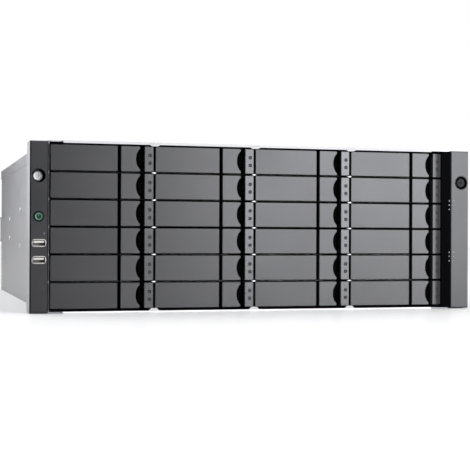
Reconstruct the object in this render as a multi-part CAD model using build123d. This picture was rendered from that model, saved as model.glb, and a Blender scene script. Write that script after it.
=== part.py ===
from build123d import *
import math
import os

# A rack-mounted video storage appliance, four rack units tall, with 24 drive carriers at the front.
# X runs to the right as seen from the front, Y to the back and Z up, in millimetres.
# The origin lies in the middle of the underside of the base.

# Outer sizes
rack_width = 482.6
ear_reach = 17.8
chassis_height = 175.0
chassis_depth = 590.0
sheet = 1.2
seat_gap = 0.2
overcut = 1.0

# Carrier grid
columns = 4
rows = 6
column_gap = 1.9
row_gap = 1.9
grid_margin = 3.5
grid_right_margin = 15.8
cage_clearance = 0.05

# Front of a carrier
handle_width = 21.9
hinge_gap = 3.2
strip_width = 9.5
tip_gap = 2.7
notch_depth = 5.8
notch_radius = 13.5
corner_radius = 0.9
edge_bevel = 0.45
face_depth = 12.0
wall_thickness = 2.0

# Handle and its hinge pin
handle_thickness = 1.8
pin_radius = 0.8
pin_clearance = 0.05
knuckle_radius = 1.6
knuckle_setback = 2.1
pin_inset = 1.6
lug_height = 1.6
lug_clearance = 0.2

# Release button in the finger recess
button_width = 4.7
button_height = 13.0
button_thickness = 2.2
button_setback = 7.4
button_clearance = 0.3

# 3.5-inch drive, 101.6 mm wide and 26.1 mm high with these sizes, and the rails on its sides
drive_length = 147.0
drive_setback = 18.0
rail_thickness = 1.2
rail_inset = 0.85
rail_rise = 2.0
rail_top_gap = 4.1

# Drive cage and backplane
divider_thickness = 1.0
divider_setback = 4.0
ledge_thickness = 1.0
ledge_shortfall = 0.3
connector_depth = 7.0
connector_width = 33.4
connector_height = 6.4
connector_inset = 4.05
connector_rise = 2.0
board_thickness = 2.0
nose_width = 4.0
nose_height = 1.5
nose_setback = 0.6
foot_width = 11.0
foot_top_width = 6.0
air_slot_height = 5.0
air_slot_width = 52.0
air_slot_offset = 1.9

# Front lips and black trims
lip_inset_left = 15.5
lip_inset_right = 26.5
lip_height = 2.0
lip_setback = 0.8
cover_flange = 0.8
cover_flange_height = 12.0
trim_depth = 6.0
trim_gap = 0.3
light_bar_gap = 1.0
light_bar_depth = 8.0
light_radius = 0.8
light_inset = 1.3
light_drops = (56.2, 60.8, 65.6, 113.1, 117.5, 122.4)

# Ears
ear_gap = 0.5
ear_depth = 31.0
ear_sheet = 2.0
ear_wall = 1.0
ear_tail = 44.0
ear_tail_margin = 8.0
ear_corner = 3.0
bezel_front = 3.0
bezel_wall = 1.2
bezel_bevel = 1.0
bezel_lap_left = 0.6
bezel_lap_right = 3.6

# Thumb screws, each in a round well of its bezel
screw_inset = 8.75
screw_drop = 36.1
knob_radius = 5.2
knob_setback = 14.0
knob_back_gap = 3.5
knob_bevel = 0.8
well_gap = 1.8
well_wall = 1.0
shank_radius = 2.9
shank_clearance = 0.05
thread_radius = 2.5
thread_length = 12.0
thread_bevel = 0.6

# Power button, USB sockets and lamp on the left ear
power_drop = 77.3
power_radius = 4.6
power_proud = 0.8
power_length = 6.0
power_bevel = 0.5
usb_drops = (104.0, 121.1)
usb_width = 14.6
usb_height = 8.2
usb_corner = 3.2
usb_depth = 14.0
usb_proud = 0.6
usb_back_wall = 2.0
usb_port_width = 12.2
usb_port_height = 5.1
usb_shell = 0.3
usb_tongue = 1.9
usb_tongue_inset = 0.7
usb_tongue_rise = 0.2
usb_tongue_setback = 1.0
usb_offset = 0.3
ear_lamp_drop = 94.4
ear_lamp_offset = 5.6

# Slide rails on the chassis sides
slide_height = 36.0
slide_rise = 71.0
slide_web = 1.0
slide_lip = 1.5
slide_lip_height = 2.5
slide_overrun = 8.0

# Fans behind the backplane
fan_size = 120.0
fan_depth = 38.0
fan_spacing = 4.0
fan_gap = 16.0
fan_rim = 2.0
fan_corner = 6.0
fan_hub = 20.0
hub_round = 2.0
blade_count = 7
blade_clearance = 2.0
blade_thickness = 2.0
blade_chord = 26.0
blade_flare = 1.15
blade_sink = 1.5
blade_root_angle = 52.0
blade_tip_angle = 28.0
rotor_margin = 6.0
rotor_shaft = 2.0
rotor_clearance = 0.05
bearing_wall = 1.0
stator_depth = 6.0
strut_width = 5.0
strut_sink = 0.5

# Mainboard
mainboard_length = 244.0
mainboard_thickness = 1.6
mainboard_side_gap = 9.3
mainboard_bay_gap = 48.5
mainboard_rear_gap = 2.0
standoff_height = 6.0
standoff_radius = 3.0
standoff_inset = 8.0
sink_size = 80.0
sink_offset = 10.0
sink_setback = 92.0
sink_base = 10.0
sink_height = 62.0
sink_fins = 9
fin_thickness = 2.0
memory_count = 4
memory_gap = 14.0
memory_pitch = 10.0
memory_thickness = 3.2
memory_length = 133.0
memory_height = 31.0

# Rear panel openings
io_width = 158.75
io_height = 44.45
slots_margin = 2.0
slot_pitch = 20.32
slot_width = 13.0
slot_height = 105.0
slot_cover_gap = 1.92
slot_rise = 5.0
slot_lap = 4.0
vent_size = 7.0
vent_pitch = 9.2
vent_columns = 14
vent_rows = 5
vent_margin = 7.0
vent_overlap = 4.0
vent_rise = 18.0
vent_inset = 10.0

# Power supplies and their bay
supply_width = 73.5
supply_height = 39.0
supply_length = 185.0
supply_side_gap = 6.8
supply_gap = 0.3
supply_shelf = 1.2
bay_lead = 8.0
inlet_width = 27.0
inlet_height = 20.0
inlet_depth = 16.0
inlet_corner = 4.5
inlet_wall = 1.2
inlet_margin = 6.0
contact_setback = 4.5
contact_width = 4.0
contact_thickness = 2.0
contact_spread = 7.0
contact_rise = 2.0
pull_gap = 6.0
pull_side_gap = 9.5
pull_reach = 30.0
pull_width = 6.0
pull_thickness = 2.0
pull_round = 5.0
vent_slit_count = 5
vent_slit_height = 2.5
vent_slit_pitch = 6.0
vent_slit_depth = 5.0
latch_inset = 3.2
latch_length = 22.0
latch_thickness = 1.6
latch_height = 12.0
latch_thumb = 4.0
latch_knuckle = 1.7
latch_lug = 1.5

# Sockets of the mainboard, in the rear opening
socket_depth = 21.0
jack_width = 16.0
jack_height = 13.5
jack_port_width = 11.8
jack_port_height = 8.0
jack_port_depth = 12.0
jack_sill = 2.5
stack_width = 14.5
stack_height = 16.0
wide_socket_width = 31.0
wide_socket_height = 12.5

# Screws on the chassis sides
head_radius = 2.7
head_height = 1.0
rail_screw_spread = 12.4
side_screw_spread = 22.2
rail_screw_setback = 432.0
side_screw_setback = 294.0
tail_screw_inset = 30.0

# Places worked out from the sizes above
front = -chassis_depth / 2
rear = chassis_depth / 2
half_rack = rack_width / 2
half_chassis = half_rack - ear_reach
inner_half = half_chassis - sheet
inner_top = chassis_height - sheet
grid_left = -inner_half + cage_clearance + divider_thickness / 2 + column_gap / 2
column_pitch = (half_chassis - grid_right_margin - grid_left + column_gap) / columns
row_pitch = (chassis_height - 2 * grid_margin) / rows
carrier_width = column_pitch - column_gap
carrier_height = row_pitch - row_gap
grid_bottom = grid_margin
grid_right = grid_left + (columns - 1) * column_pitch + carrier_width
strip_start = carrier_width - strip_width
handle_end = strip_start - tip_gap
handle_start = handle_end - handle_width
panel_width = handle_start - hinge_gap
recess_floor = front + face_depth
wall_back = recess_floor + wall_thickness
pin_x = handle_start + pin_inset
pin_y = front + handle_thickness + knuckle_setback
drive_width = carrier_width - 2 * (rail_inset + rail_thickness)
rail_height = carrier_height - rail_rise - rail_top_gap
drive_front = front + drive_setback
drive_back = drive_front + drive_length
backplane_front = drive_back + connector_depth
backplane_back = backplane_front + board_thickness
lip_left = -half_chassis + lip_inset_left
lip_right = half_chassis - lip_inset_right
ear_bottom = ear_gap
ear_top = chassis_height - ear_gap
ear_back = front + ear_depth
flange_front = ear_back - ear_sheet
bezel_inner_left = -half_chassis + bezel_lap_left
bezel_inner_right = half_chassis - bezel_lap_right
screw_x = half_rack - screw_inset
screw_height = chassis_height - screw_drop
knob_front = front + knob_setback
knob_back = flange_front - knob_back_gap
well_radius = knob_radius + well_gap
power_height = chassis_height - power_drop
tail_end = ear_back + ear_tail
slide_middle = slide_rise + slide_height / 2
fan_pitch = fan_size + fan_spacing
fan_count = int(2 * inner_half // fan_pitch)
fan_bore = fan_size / 2 - fan_rim
fan_axis_height = sheet + seat_gap + fan_size / 2
fan_front = backplane_back + fan_gap
fan_back = fan_front + fan_depth
blade_tip = fan_bore - blade_clearance
rotor_depth = fan_depth - stator_depth - rotor_margin
supply_right = inner_half - supply_side_gap
supply_left = supply_right - supply_width
lower_supply_bottom = sheet + supply_gap
shelf_bottom = lower_supply_bottom + supply_height + supply_gap
upper_supply_bottom = shelf_bottom + supply_shelf + supply_gap
bay_top = upper_supply_bottom + supply_height + supply_gap
bay_left = supply_left - supply_gap - supply_shelf
pull_left = supply_left + inlet_margin + inlet_width + pull_gap
pull_right = supply_right - pull_side_gap
latch_x = supply_right - latch_inset
latch_y = rear + latch_knuckle + seat_gap
board_bottom = sheet + standoff_height
board_top = board_bottom + mainboard_thickness
board_back = rear - sheet - mainboard_rear_gap
board_front = board_back - mainboard_length
board_left = -inner_half + mainboard_side_gap
board_right = bay_left - mainboard_bay_gap
io_left = board_right - io_width
slots_left = board_left + slots_margin
slot_count = int((io_left - slots_left) // slot_pitch)
slot_cover_width = slot_pitch - slot_cover_gap


def block(x, y, z):
    """A box between two limits along each axis."""
    middle = [(low + high) / 2 for low, high in (x, y, z)]
    lengths = [high - low for low, high in (x, y, z)]
    return Pos(*middle) * Box(*lengths)


def rod_along_y(x, z, y, radius):
    """A round bar that runs along Y between two limits."""
    length = y[1] - y[0]
    bar = Cylinder(radius, length, rotation=(90, 0, 0))
    return Pos(x, (y[0] + y[1]) / 2, z) * bar


def rod_along_z(x, y, z, radius):
    """A round bar that stands along Z between two limits."""
    return Pos(x, y, (z[0] + z[1]) / 2) * Cylinder(radius, z[1] - z[0])


def group(pieces):
    """Separate solids that share one node."""
    solids = []
    for piece in pieces:
        solids.extend(piece.solids())
    return Compound(children=solids)


def front_plate(x, z, thickness, radius):
    """A plate in the front plane with rounded corners and a bevel round its front edge."""
    middle_x = (x[0] + x[1]) / 2
    middle_z = (z[0] + z[1]) / 2
    outline = RectangleRounded(x[1] - x[0], z[1] - z[0], radius)
    plane = Plane(origin=(middle_x, front, middle_z), x_dir=(1, 0, 0), z_dir=(0, -1, 0))
    plate = extrude(plane * outline, amount=-thickness)
    front_face = plate.faces().sort_by(Axis.Y)[0]
    return chamfer(front_face.edges(), edge_bevel)


def carrier_origin(column, row):
    """Lower left corner of one carrier's front."""
    x = grid_left + column * column_pitch
    z = grid_bottom + row * row_pitch + row_gap / 2
    return x, z


def carrier_handle(x, z):
    """Handle plate with a half-moon notch at its free edge and a knuckle round the hinge pin."""
    top = z + carrier_height
    plate = front_plate((x + handle_start, x + handle_end), (z, top), handle_thickness, corner_radius)
    notch_x = x + handle_end - notch_depth + notch_radius
    middle_z = z + carrier_height / 2
    notch = rod_along_y(notch_x, middle_z, (front - overcut, pin_y), notch_radius)
    knuckle_z = (z + lug_height + lug_clearance, top - lug_height - lug_clearance)
    barrel = rod_along_z(x + pin_x, pin_y, knuckle_z, knuckle_radius)
    web_x = (x + pin_x - knuckle_radius, x + pin_x + knuckle_radius)
    web = block(web_x, (front + handle_thickness, pin_y), knuckle_z)
    bore = rod_along_z(x + pin_x, pin_y, knuckle_z, pin_radius + pin_clearance)
    return plate - notch + web + barrel - bore


def carrier_button(x, z):
    """Release button that stands in the finger recess beside the light strip."""
    right = x + strip_start - button_clearance
    middle_z = z + carrier_height / 2
    z_limits = (middle_z - button_height / 2, middle_z + button_height / 2)
    y_limits = (front + button_setback, front + button_setback + button_thickness)
    cap = block((right - button_width, right), y_limits, z_limits)
    return fillet(cap.edges().filter_by(Axis.Y), corner_radius)


def carrier_lugs(x, z):
    """Two lugs on the front wall that hold the hinge pin."""
    lugs = []
    for low in (z, z + carrier_height - lug_height):
        x_limits = (x + pin_x - knuckle_radius, x + pin_x + knuckle_radius)
        lug = block(x_limits, (pin_y, recess_floor), (low, low + lug_height))
        eye = rod_along_z(x + pin_x, pin_y, (low, low + lug_height), knuckle_radius)
        hole = rod_along_z(x + pin_x, pin_y, (low, low + lug_height), pin_radius)
        lugs.append(lug + eye - hole)
    return lugs


def carrier_frame(x, z):
    """Front panel, light strip, front wall, hinge pin, side rails and drive of one carrier."""
    top = z + carrier_height
    panel = front_plate((x, x + panel_width), (z, top), face_depth, corner_radius)
    strip = front_plate((x + strip_start, x + carrier_width), (z, top), face_depth, corner_radius)
    wall = block((x, x + carrier_width), (recess_floor, wall_back), (z, top))
    pin = rod_along_z(x + pin_x, pin_y, (z, top), pin_radius)
    pieces = [panel, strip, wall, pin] + carrier_lugs(x, z)
    rail_z = (z + rail_rise, z + rail_rise + rail_height)
    left_rail = x + rail_inset
    drive_left = left_rail + rail_thickness
    drive_right = drive_left + drive_width
    pieces.append(block((left_rail, drive_left), (wall_back, drive_back), rail_z))
    pieces.append(block((drive_right, drive_right + rail_thickness), (wall_back, drive_back), rail_z))
    pieces.append(block((drive_left, drive_right), (drive_front, drive_back), (z, top)))
    return pieces


def divider(x, sides):
    """Upright plate of the drive cage, and a ledge strip under each carrier rail that runs beside it."""
    plate_x = (x - divider_thickness / 2, x + divider_thickness / 2)
    setback = divider_setback if len(sides) == 2 else light_bar_depth
    pieces = [block(plate_x, (front + setback, backplane_front), (sheet, inner_top))]
    rail_side = column_gap / 2 + rail_inset
    reach = rail_side + rail_thickness - ledge_shortfall
    for side in sides:
        for row in range(rows):
            rail_bottom = carrier_origin(0, row)[1] + rail_rise
            ledge_top = rail_bottom - seat_gap
            ledge_x = sorted((x + side * divider_thickness / 2, x + side * reach))
            ledge_z = (ledge_top - ledge_thickness, ledge_top)
            pieces.append(block(ledge_x, (wall_back + seat_gap, drive_back), ledge_z))
    return pieces


def divider_noses(x):
    """Bright noses on a divider's front edge, one at each crossing of the gaps, and its two feet."""
    noses = []
    y_limits = (front + nose_setback, front + divider_setback)
    for row in range(1, rows):
        z = grid_bottom + row * row_pitch
        half = nose_height / 2
        outline = Polygon(
            (-nose_width / 2, 0), (0, -half), (nose_width / 2, 0), (0, half), align=None
        )
        plane = Plane(origin=(x, y_limits[0], z), x_dir=(1, 0, 0), z_dir=(0, -1, 0))
        noses.append(extrude(plane * outline, amount=y_limits[0] - y_limits[1]))
    foot_height = grid_bottom + row_gap / 2 - sheet - lip_height - 2 * seat_gap
    for base_z, up in ((sheet + lip_height + seat_gap, 1), (inner_top - lip_height - seat_gap, -1)):
        foot = Polygon(
            (-foot_width / 2, 0),
            (foot_width / 2, 0),
            (foot_top_width / 2, up * foot_height),
            (-foot_top_width / 2, up * foot_height),
            align=None,
        )
        plane = Plane(origin=(x, y_limits[0], base_z), x_dir=(1, 0, 0), z_dir=(0, -1, 0))
        noses.append(extrude(plane * foot, amount=y_limits[0] - y_limits[1]))
    return noses


def drive_cage():
    """Upright dividers between and beside the columns, with their ledges and front noses."""
    pieces = []
    for column in range(columns + 1):
        x = grid_left + column * column_pitch - column_gap / 2
        sides = [side for side in (-1, 1) if 0 <= column + (side - 1) / 2 < columns]
        pieces.extend(divider(x, sides))
        if 0 < column < columns:
            pieces.extend(divider_noses(x))
    return pieces


def backplane():
    """Circuit board behind the carriers, with air slots and one connector for each drive."""
    x_limits = (grid_left, grid_right)
    z_limits = (grid_bottom, grid_bottom + rows * row_pitch)
    board = block(x_limits, (backplane_front, backplane_back), z_limits)
    pieces = []
    for column in range(columns):
        for row in range(rows):
            x, z = carrier_origin(column, row)
            left = x + carrier_width - connector_inset - connector_width
            low = z + connector_rise
            connector = block(
                (left, left + connector_width),
                (drive_back, backplane_front),
                (low, low + connector_height),
            )
            pieces.append(connector)
            slot_left = x + panel_width / 2 - air_slot_width / 2
            slot_low = z + carrier_height / 2 + air_slot_offset
            if row % 2 == 0:
                board -= block(
                    (slot_left, slot_left + air_slot_width),
                    (backplane_front - overcut, backplane_back + overcut),
                    (slot_low, slot_low + air_slot_height),
                )
    return [board] + pieces


def base_tray():
    """Folded steel tray: floor, two side walls and a low front lip between the corner trims."""
    floor = block((-half_chassis, half_chassis), (ear_back, rear), (0, sheet))
    floor += block((bezel_inner_left, bezel_inner_right), (front + trim_depth, ear_back), (0, sheet))
    floor += block((lip_left, lip_right), (front + lip_setback, front + trim_depth), (0, sheet))
    lip_y = (front + lip_setback, front + lip_setback + sheet)
    tray = floor + block((lip_left, lip_right), lip_y, (sheet, sheet + lip_height))
    for side in (-1, 1):
        wall_x = sorted((side * inner_half, side * half_chassis))
        tray += block(wall_x, (ear_back, rear), (0, inner_top))
    return tray


def top_cover():
    """Flat cover with a turned-down front lip and flanges that lap over the side walls."""
    z_limits = (inner_top, chassis_height)
    cover = block((-half_chassis, half_chassis), (ear_back, rear), z_limits)
    cover += block((bezel_inner_left, bezel_inner_right), (front + trim_depth, ear_back), z_limits)
    cover += block((lip_left, lip_right), (front + lip_setback, front + trim_depth), z_limits)
    lip_y = (front + lip_setback, front + lip_setback + sheet)
    cover += block((lip_left, lip_right), lip_y, (inner_top - lip_height, inner_top))
    for side in (-1, 1):
        flange_x = sorted((side * half_chassis, side * (half_chassis + cover_flange)))
        flange_y = (tail_end + seat_gap, rear)
        cover += block(flange_x, flange_y, (chassis_height - cover_flange_height, chassis_height))
    return cover


def vent_window():
    """Low and high limits, in X and Z, of the air window above the sockets."""
    width = (vent_columns - 0.5) * vent_pitch
    height = (vent_rows - 1) * vent_pitch * math.sqrt(3) / 2
    left = io_left + vent_inset
    low = board_top + io_height + vent_rise
    x_limits = (left, left + width + 2 * vent_margin)
    return x_limits, (low, low + height + 2 * vent_margin)


def rear_panel():
    """Rear wall with openings for sockets, cards, power supplies and air."""
    wall_y = (rear - sheet, rear)
    cut_y = (rear - sheet - overcut, rear + overcut)
    panel = block((-inner_half, inner_half), wall_y, (sheet, inner_top))
    panel -= block((io_left, io_left + io_width), cut_y, (board_top, board_top + io_height))
    supply_x = (supply_left - supply_gap, supply_right + supply_gap)
    panel -= block(supply_x, cut_y, (0, bay_top))
    for index in range(slot_count):
        middle = slots_left + (index + 0.5) * slot_pitch
        slot_x = (middle - slot_width / 2, middle + slot_width / 2)
        panel -= block(slot_x, cut_y, (board_top + slot_rise, board_top + slot_rise + slot_height))
    window_x, window_z = vent_window()
    return panel - block(window_x, cut_y, window_z)


def vent_plate():
    """Perforated plate behind the air window, with hexagonal holes in staggered rows."""
    window_x, window_z = vent_window()
    plate_x = (window_x[0] - vent_overlap, window_x[1] + vent_overlap)
    plate_z = (window_z[0] - vent_overlap, window_z[1] + vent_overlap)
    plate = block(plate_x, (rear - 2 * sheet, rear - sheet), plate_z)
    outline = Plane.XZ * RegularPolygon(vent_size / 2, 6, major_radius=False)
    prism = extrude(outline, amount=sheet, both=True)
    holes = []
    for row in range(vent_rows):
        shift = vent_pitch / 2 if row % 2 else 0
        z = window_z[0] + vent_margin + row * vent_pitch * math.sqrt(3) / 2
        for column in range(vent_columns):
            x = window_x[0] + vent_margin + column * vent_pitch + shift
            holes.append(Pos(x, rear - 1.5 * sheet, z) * prism)
    return plate - holes


def slot_covers():
    """Blanking strips that close the card slots from inside."""
    covers = []
    for index in range(slot_count):
        middle = slots_left + (index + 0.5) * slot_pitch
        x_limits = (middle - slot_cover_width / 2, middle + slot_cover_width / 2)
        y_limits = (rear - 2 * sheet, rear - sheet)
        z_limits = (board_top + slot_rise - slot_lap, board_top + slot_rise + slot_height + slot_lap)
        covers.append(block(x_limits, y_limits, z_limits))
    return covers


def ear_limits(side):
    """Inner and outer X of one ear's front."""
    inner = bezel_inner_right if side > 0 else bezel_inner_left
    return sorted((inner, side * half_rack))


def ear_bracket(side):
    """Folded bracket: rack flange, outer wall and a tail that is screwed to the chassis side."""
    z_limits = (ear_bottom, ear_top)
    flange_x = sorted((side * half_chassis, side * half_rack))
    bracket = block(flange_x, (flange_front, ear_back), z_limits)
    wall_x = sorted((side * (half_rack - ear_wall), side * half_rack))
    bracket += block(wall_x, (front + bezel_front, ear_back), z_limits)
    tail_x = sorted((side * half_chassis, side * (half_chassis + ear_wall)))
    tail_z = (ear_bottom + ear_tail_margin, ear_top - ear_tail_margin - cover_flange_height)
    bracket += block(tail_x, (flange_front, tail_end), tail_z)
    corner_edges = bracket.edges().filter_by(Axis.X).group_by(Axis.Y)[-1]
    bracket = fillet(corner_edges, ear_corner)
    hole_y = (flange_front - overcut, ear_back + overcut)
    return bracket - rod_along_y(side * screw_x, screw_height, hole_y, shank_radius + shank_clearance)


def ear_bezel(side):
    """Hollow plastic bezel over one ear, open at the back, with a round well for the thumb screw."""
    x_limits = ear_limits(side)
    z_limits = (ear_bottom, ear_top)
    cap = block(x_limits, (front, front + bezel_front), z_limits)
    cap = chamfer(cap.faces().sort_by(Axis.Y)[0].edges(), bezel_bevel)
    wall = side * (half_rack - ear_wall - seat_gap)
    inner = x_limits[0] if side > 0 else x_limits[1]
    body_x = sorted((inner, wall))
    body_y = (front + bezel_front, flange_front - seat_gap)
    body = block(body_x, body_y, z_limits)
    hollow_x = (body_x[0] + bezel_wall, body_x[1] - bezel_wall)
    hollow_z = (ear_bottom + bezel_wall, ear_top - bezel_wall)
    body -= block(hollow_x, (front + bezel_front, flange_front + overcut), hollow_z)
    well = rod_along_y(side * screw_x, screw_height, body_y, well_radius + well_wall)
    bezel = cap + body + (well & block(body_x, body_y, z_limits))
    bezel -= rod_along_y(side * screw_x, screw_height, (front - overcut, flange_front), well_radius)
    if side < 0:
        through = (front - overcut, front + bezel_front + overcut)
        bezel -= rod_along_y(-screw_x, power_height, through, power_radius + button_clearance)
        for plane in usb_planes():
            hole = plane * RectangleRounded(usb_width, usb_height, usb_corner)
            bezel -= extrude(hole, amount=-bezel_front - usb_proud - overcut)
    return bezel


def usb_planes():
    """Planes at the front of the two USB sockets, facing forwards."""
    places = [(-screw_x + usb_offset, front - usb_proud, chassis_height - drop) for drop in usb_drops]
    return [Plane(origin=place, x_dir=(1, 0, 0), z_dir=(0, -1, 0)) for place in places]


def usb_sockets():
    """Two USB sockets: a rounded metal rim and shell with the contact tongue inside."""
    pieces = []
    for plane in usb_planes():
        x = plane.origin.X
        height = plane.origin.Z
        outline = plane * RectangleRounded(usb_width, usb_height, usb_corner)
        shell = extrude(outline, amount=-usb_proud - bezel_front)
        can = Rectangle(usb_port_width + 2 * usb_shell, usb_port_height + 2 * usb_shell)
        shell += extrude(plane * can, amount=-usb_depth)
        port_depth = usb_depth - usb_back_wall
        port = extrude(plane * Rectangle(usb_port_width, usb_port_height), amount=-port_depth)
        tongue_half = usb_port_width / 2 - usb_tongue_inset
        tongue_y = (front + usb_tongue_setback, front - usb_proud + port_depth)
        tongue_z = (height + usb_tongue_rise, height + usb_tongue_rise + usb_tongue)
        tongue = block((x - tongue_half, x + tongue_half), tongue_y, tongue_z)
        pieces.extend([shell - port, tongue])
    return pieces


def front_trim():
    """Black light bar beside the last column, with short arms above and below, and two left trims."""
    bar_left = grid_right + light_bar_gap
    y_limits = (front + trim_gap, front + light_bar_depth)
    arm_y = (front + trim_gap, front + trim_depth)
    bottom_z = (trim_gap, grid_bottom - trim_gap)
    top_z = (chassis_height - grid_bottom + trim_gap, chassis_height - trim_gap)
    bar_right = bezel_inner_right - trim_gap
    bar = block((bar_left, bar_right), y_limits, (bottom_z[1], top_z[0]))
    for z_limits in (bottom_z, top_z):
        bar += block((lip_right, bar_right), arm_y, z_limits)
    pieces = [bar]
    for z_limits in (bottom_z, top_z):
        pieces.append(block((bezel_inner_left + trim_gap, lip_left), arm_y, z_limits))
    return pieces


def status_lights():
    """Small round lights on the light bar and one on the left ear."""
    lights = []
    x = bezel_inner_right - trim_gap - light_inset
    for drop in light_drops:
        height = chassis_height - drop
        lights.append(rod_along_y(x, height, (front, front + trim_gap), light_radius))
    lamp_x = -screw_x + ear_lamp_offset
    lamp_height = chassis_height - ear_lamp_drop
    lights.append(rod_along_y(lamp_x, lamp_height, (front - trim_gap, front), light_radius))
    return lights


def thumb_screw(side):
    """Captive rack screw: a knob deep in the bezel's well, and a shank that passes through the flange."""
    x = side * screw_x
    knob = rod_along_y(x, screw_height, (knob_front, knob_back), knob_radius)
    knob = chamfer(knob.faces().sort_by(Axis.Y)[0].edges(), knob_bevel)
    shank = rod_along_y(x, screw_height, (knob_back, ear_back), shank_radius)
    thread = rod_along_y(x, screw_height, (ear_back, ear_back + thread_length), thread_radius)
    thread = chamfer(thread.faces().sort_by(Axis.Y)[-1].edges(), thread_bevel)
    return knob + shank + thread


def power_button():
    """Round button in the left bezel."""
    y_limits = (front - power_proud, front - power_proud + power_length)
    button = rod_along_y(-screw_x, power_height, y_limits, power_radius)
    return chamfer(button.faces().sort_by(Axis.Y)[0].edges(), power_bevel)


def slide_rails():
    """Inner slide members on both chassis sides, with folded lips along both edges."""
    rails = []
    for side in (-1, 1):
        y_limits = (tail_end + seat_gap, rear + slide_overrun)
        web_x = sorted((side * half_chassis, side * (half_chassis + slide_web)))
        rail = block(web_x, y_limits, (slide_rise, slide_rise + slide_height))
        lip_x = sorted((side * half_chassis, side * (half_chassis + slide_lip)))
        for low in (slide_rise, slide_rise + slide_height - slide_lip_height):
            rail += block(lip_x, y_limits, (low, low + slide_lip_height))
        rails.append(rail)
    return rails


def fan_centre(index):
    """Middle of one fan in X."""
    return (index - (fan_count - 1) / 2) * fan_pitch


def fan_frame(index):
    """Square fan frame with a round bore, and a hub carried by four struts at its back."""
    x = fan_centre(index)
    half = fan_size / 2
    z_limits = (fan_axis_height - half, fan_axis_height + half)
    frame = block((x - half, x + half), (fan_front, fan_back), z_limits)
    frame = fillet(frame.edges().filter_by(Axis.Y), fan_corner)
    bore_y = (fan_front - overcut, fan_back + overcut)
    frame -= rod_along_y(x, fan_axis_height, bore_y, fan_bore)
    hub_y = (fan_back - stator_depth, fan_back)
    hub = rod_along_y(x, fan_axis_height, hub_y, fan_hub)
    strut_reach = fan_bore + strut_sink
    strut = block((-strut_reach, strut_reach), hub_y, (-strut_width / 2, strut_width / 2))
    for angle in (45, 135):
        hub += Pos(x, 0, fan_axis_height) * Rot(0, angle, 0) * strut
    frame += hub
    bearing_y = (fan_back - stator_depth - overcut, fan_back - bearing_wall)
    return frame - rod_along_y(x, fan_axis_height, bearing_y, rotor_shaft + rotor_clearance)


def fan_blade():
    """One twisted blade, lofted from its root to its tip along X, for a fan that turns about Z."""
    sections = []
    for radius, chord, angle in (
        (fan_hub - blade_sink, blade_chord, blade_root_angle),
        (blade_tip, blade_chord * blade_flare, blade_tip_angle),
    ):
        plane = Plane(origin=(radius, 0, 0), x_dir=(0, 1, 0), z_dir=(1, 0, 0))
        sections.append(plane * Rot(0, 0, angle) * Rectangle(chord, blade_thickness))
    return loft(sections, ruled=True)


def fan_rotor(index):
    """Fan hub with its blades and shaft."""
    hub = Cylinder(fan_hub, rotor_depth)
    hub = fillet(hub.faces().sort_by(Axis.Z)[-1].edges(), hub_round)
    blade = fan_blade()
    rotor = hub
    for turn in range(blade_count):
        rotor += Rot(0, 0, turn * 360 / blade_count) * blade
    shaft_length = stator_depth - 2 * bearing_wall + seat_gap
    rotor += Pos(0, 0, -rotor_depth / 2 - shaft_length / 2) * Cylinder(rotor_shaft, shaft_length)
    middle_y = fan_back - stator_depth - seat_gap - rotor_depth / 2
    return Pos(fan_centre(index), middle_y, fan_axis_height) * Rot(90, 0, 0) * rotor


def mainboard():
    """Server board on standoffs, with a finned heat sink and four memory modules."""
    board_x = (board_left, board_right)
    board_middle = (board_left + board_right) / 2
    board = block(board_x, (board_front, board_back), (board_bottom, board_top))
    pieces = [board]
    stand = extrude(RegularPolygon(standoff_radius, 6), standoff_height)
    for x in (board_left + standoff_inset, board_middle, board_right - standoff_inset):
        for y in (board_front + standoff_inset, board_back - standoff_inset):
            pieces.append(Pos(x, y, sheet) * stand)
    sink_x = board_middle + sink_offset
    sink_y = board_front + sink_setback
    pieces.append(heat_sink(sink_x, sink_y))
    module_y = (sink_y - memory_length / 2, sink_y + memory_length / 2)
    for index in range(memory_count):
        x = sink_x + sink_size / 2 + memory_gap + index * memory_pitch
        module_x = (x, x + memory_thickness)
        pieces.append(block(module_x, module_y, (board_top, board_top + memory_height)))
    return pieces


def heat_sink(x, y):
    """Heat sink with upright fins along the air stream."""
    half = sink_size / 2
    base_top = board_top + sink_base
    sink = block((x - half, x + half), (y - half, y + half), (board_top, base_top))
    pitch = (sink_size - fin_thickness) / (sink_fins - 1)
    for index in range(sink_fins):
        left = x - half + index * pitch
        fin_z = (base_top, board_top + sink_height)
        sink += block((left, left + fin_thickness), (y - half, y + half), fin_z)
    return sink


def jack(x):
    """Network socket with its port open to the back."""
    shell_z = (board_top, board_top + jack_height)
    shell = block((x, x + jack_width), (rear - socket_depth, rear), shell_z)
    port_x = (x + (jack_width - jack_port_width) / 2, x + (jack_width + jack_port_width) / 2)
    port_z = (board_top + jack_sill, board_top + jack_sill + jack_port_height)
    return shell - block(port_x, (rear - jack_port_depth, rear + overcut), port_z)


def rear_sockets():
    """Sockets of the mainboard, evenly spaced: two network jacks, a USB stack, display and serial."""
    wide = (wide_socket_width, wide_socket_height)
    plain = [(stack_width, stack_height), wide, wide]
    total = 2 * jack_width + sum(width for width, height in plain)
    gap = (io_width - total) / (len(plain) + 3)
    x = io_left + gap
    pieces = [jack(x), jack(x + jack_width + gap)]
    x += 2 * (jack_width + gap)
    for width, height in plain:
        pieces.append(block((x, x + width), (rear - socket_depth, rear), (board_top, board_top + height)))
        x += width + gap
    return pieces


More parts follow.
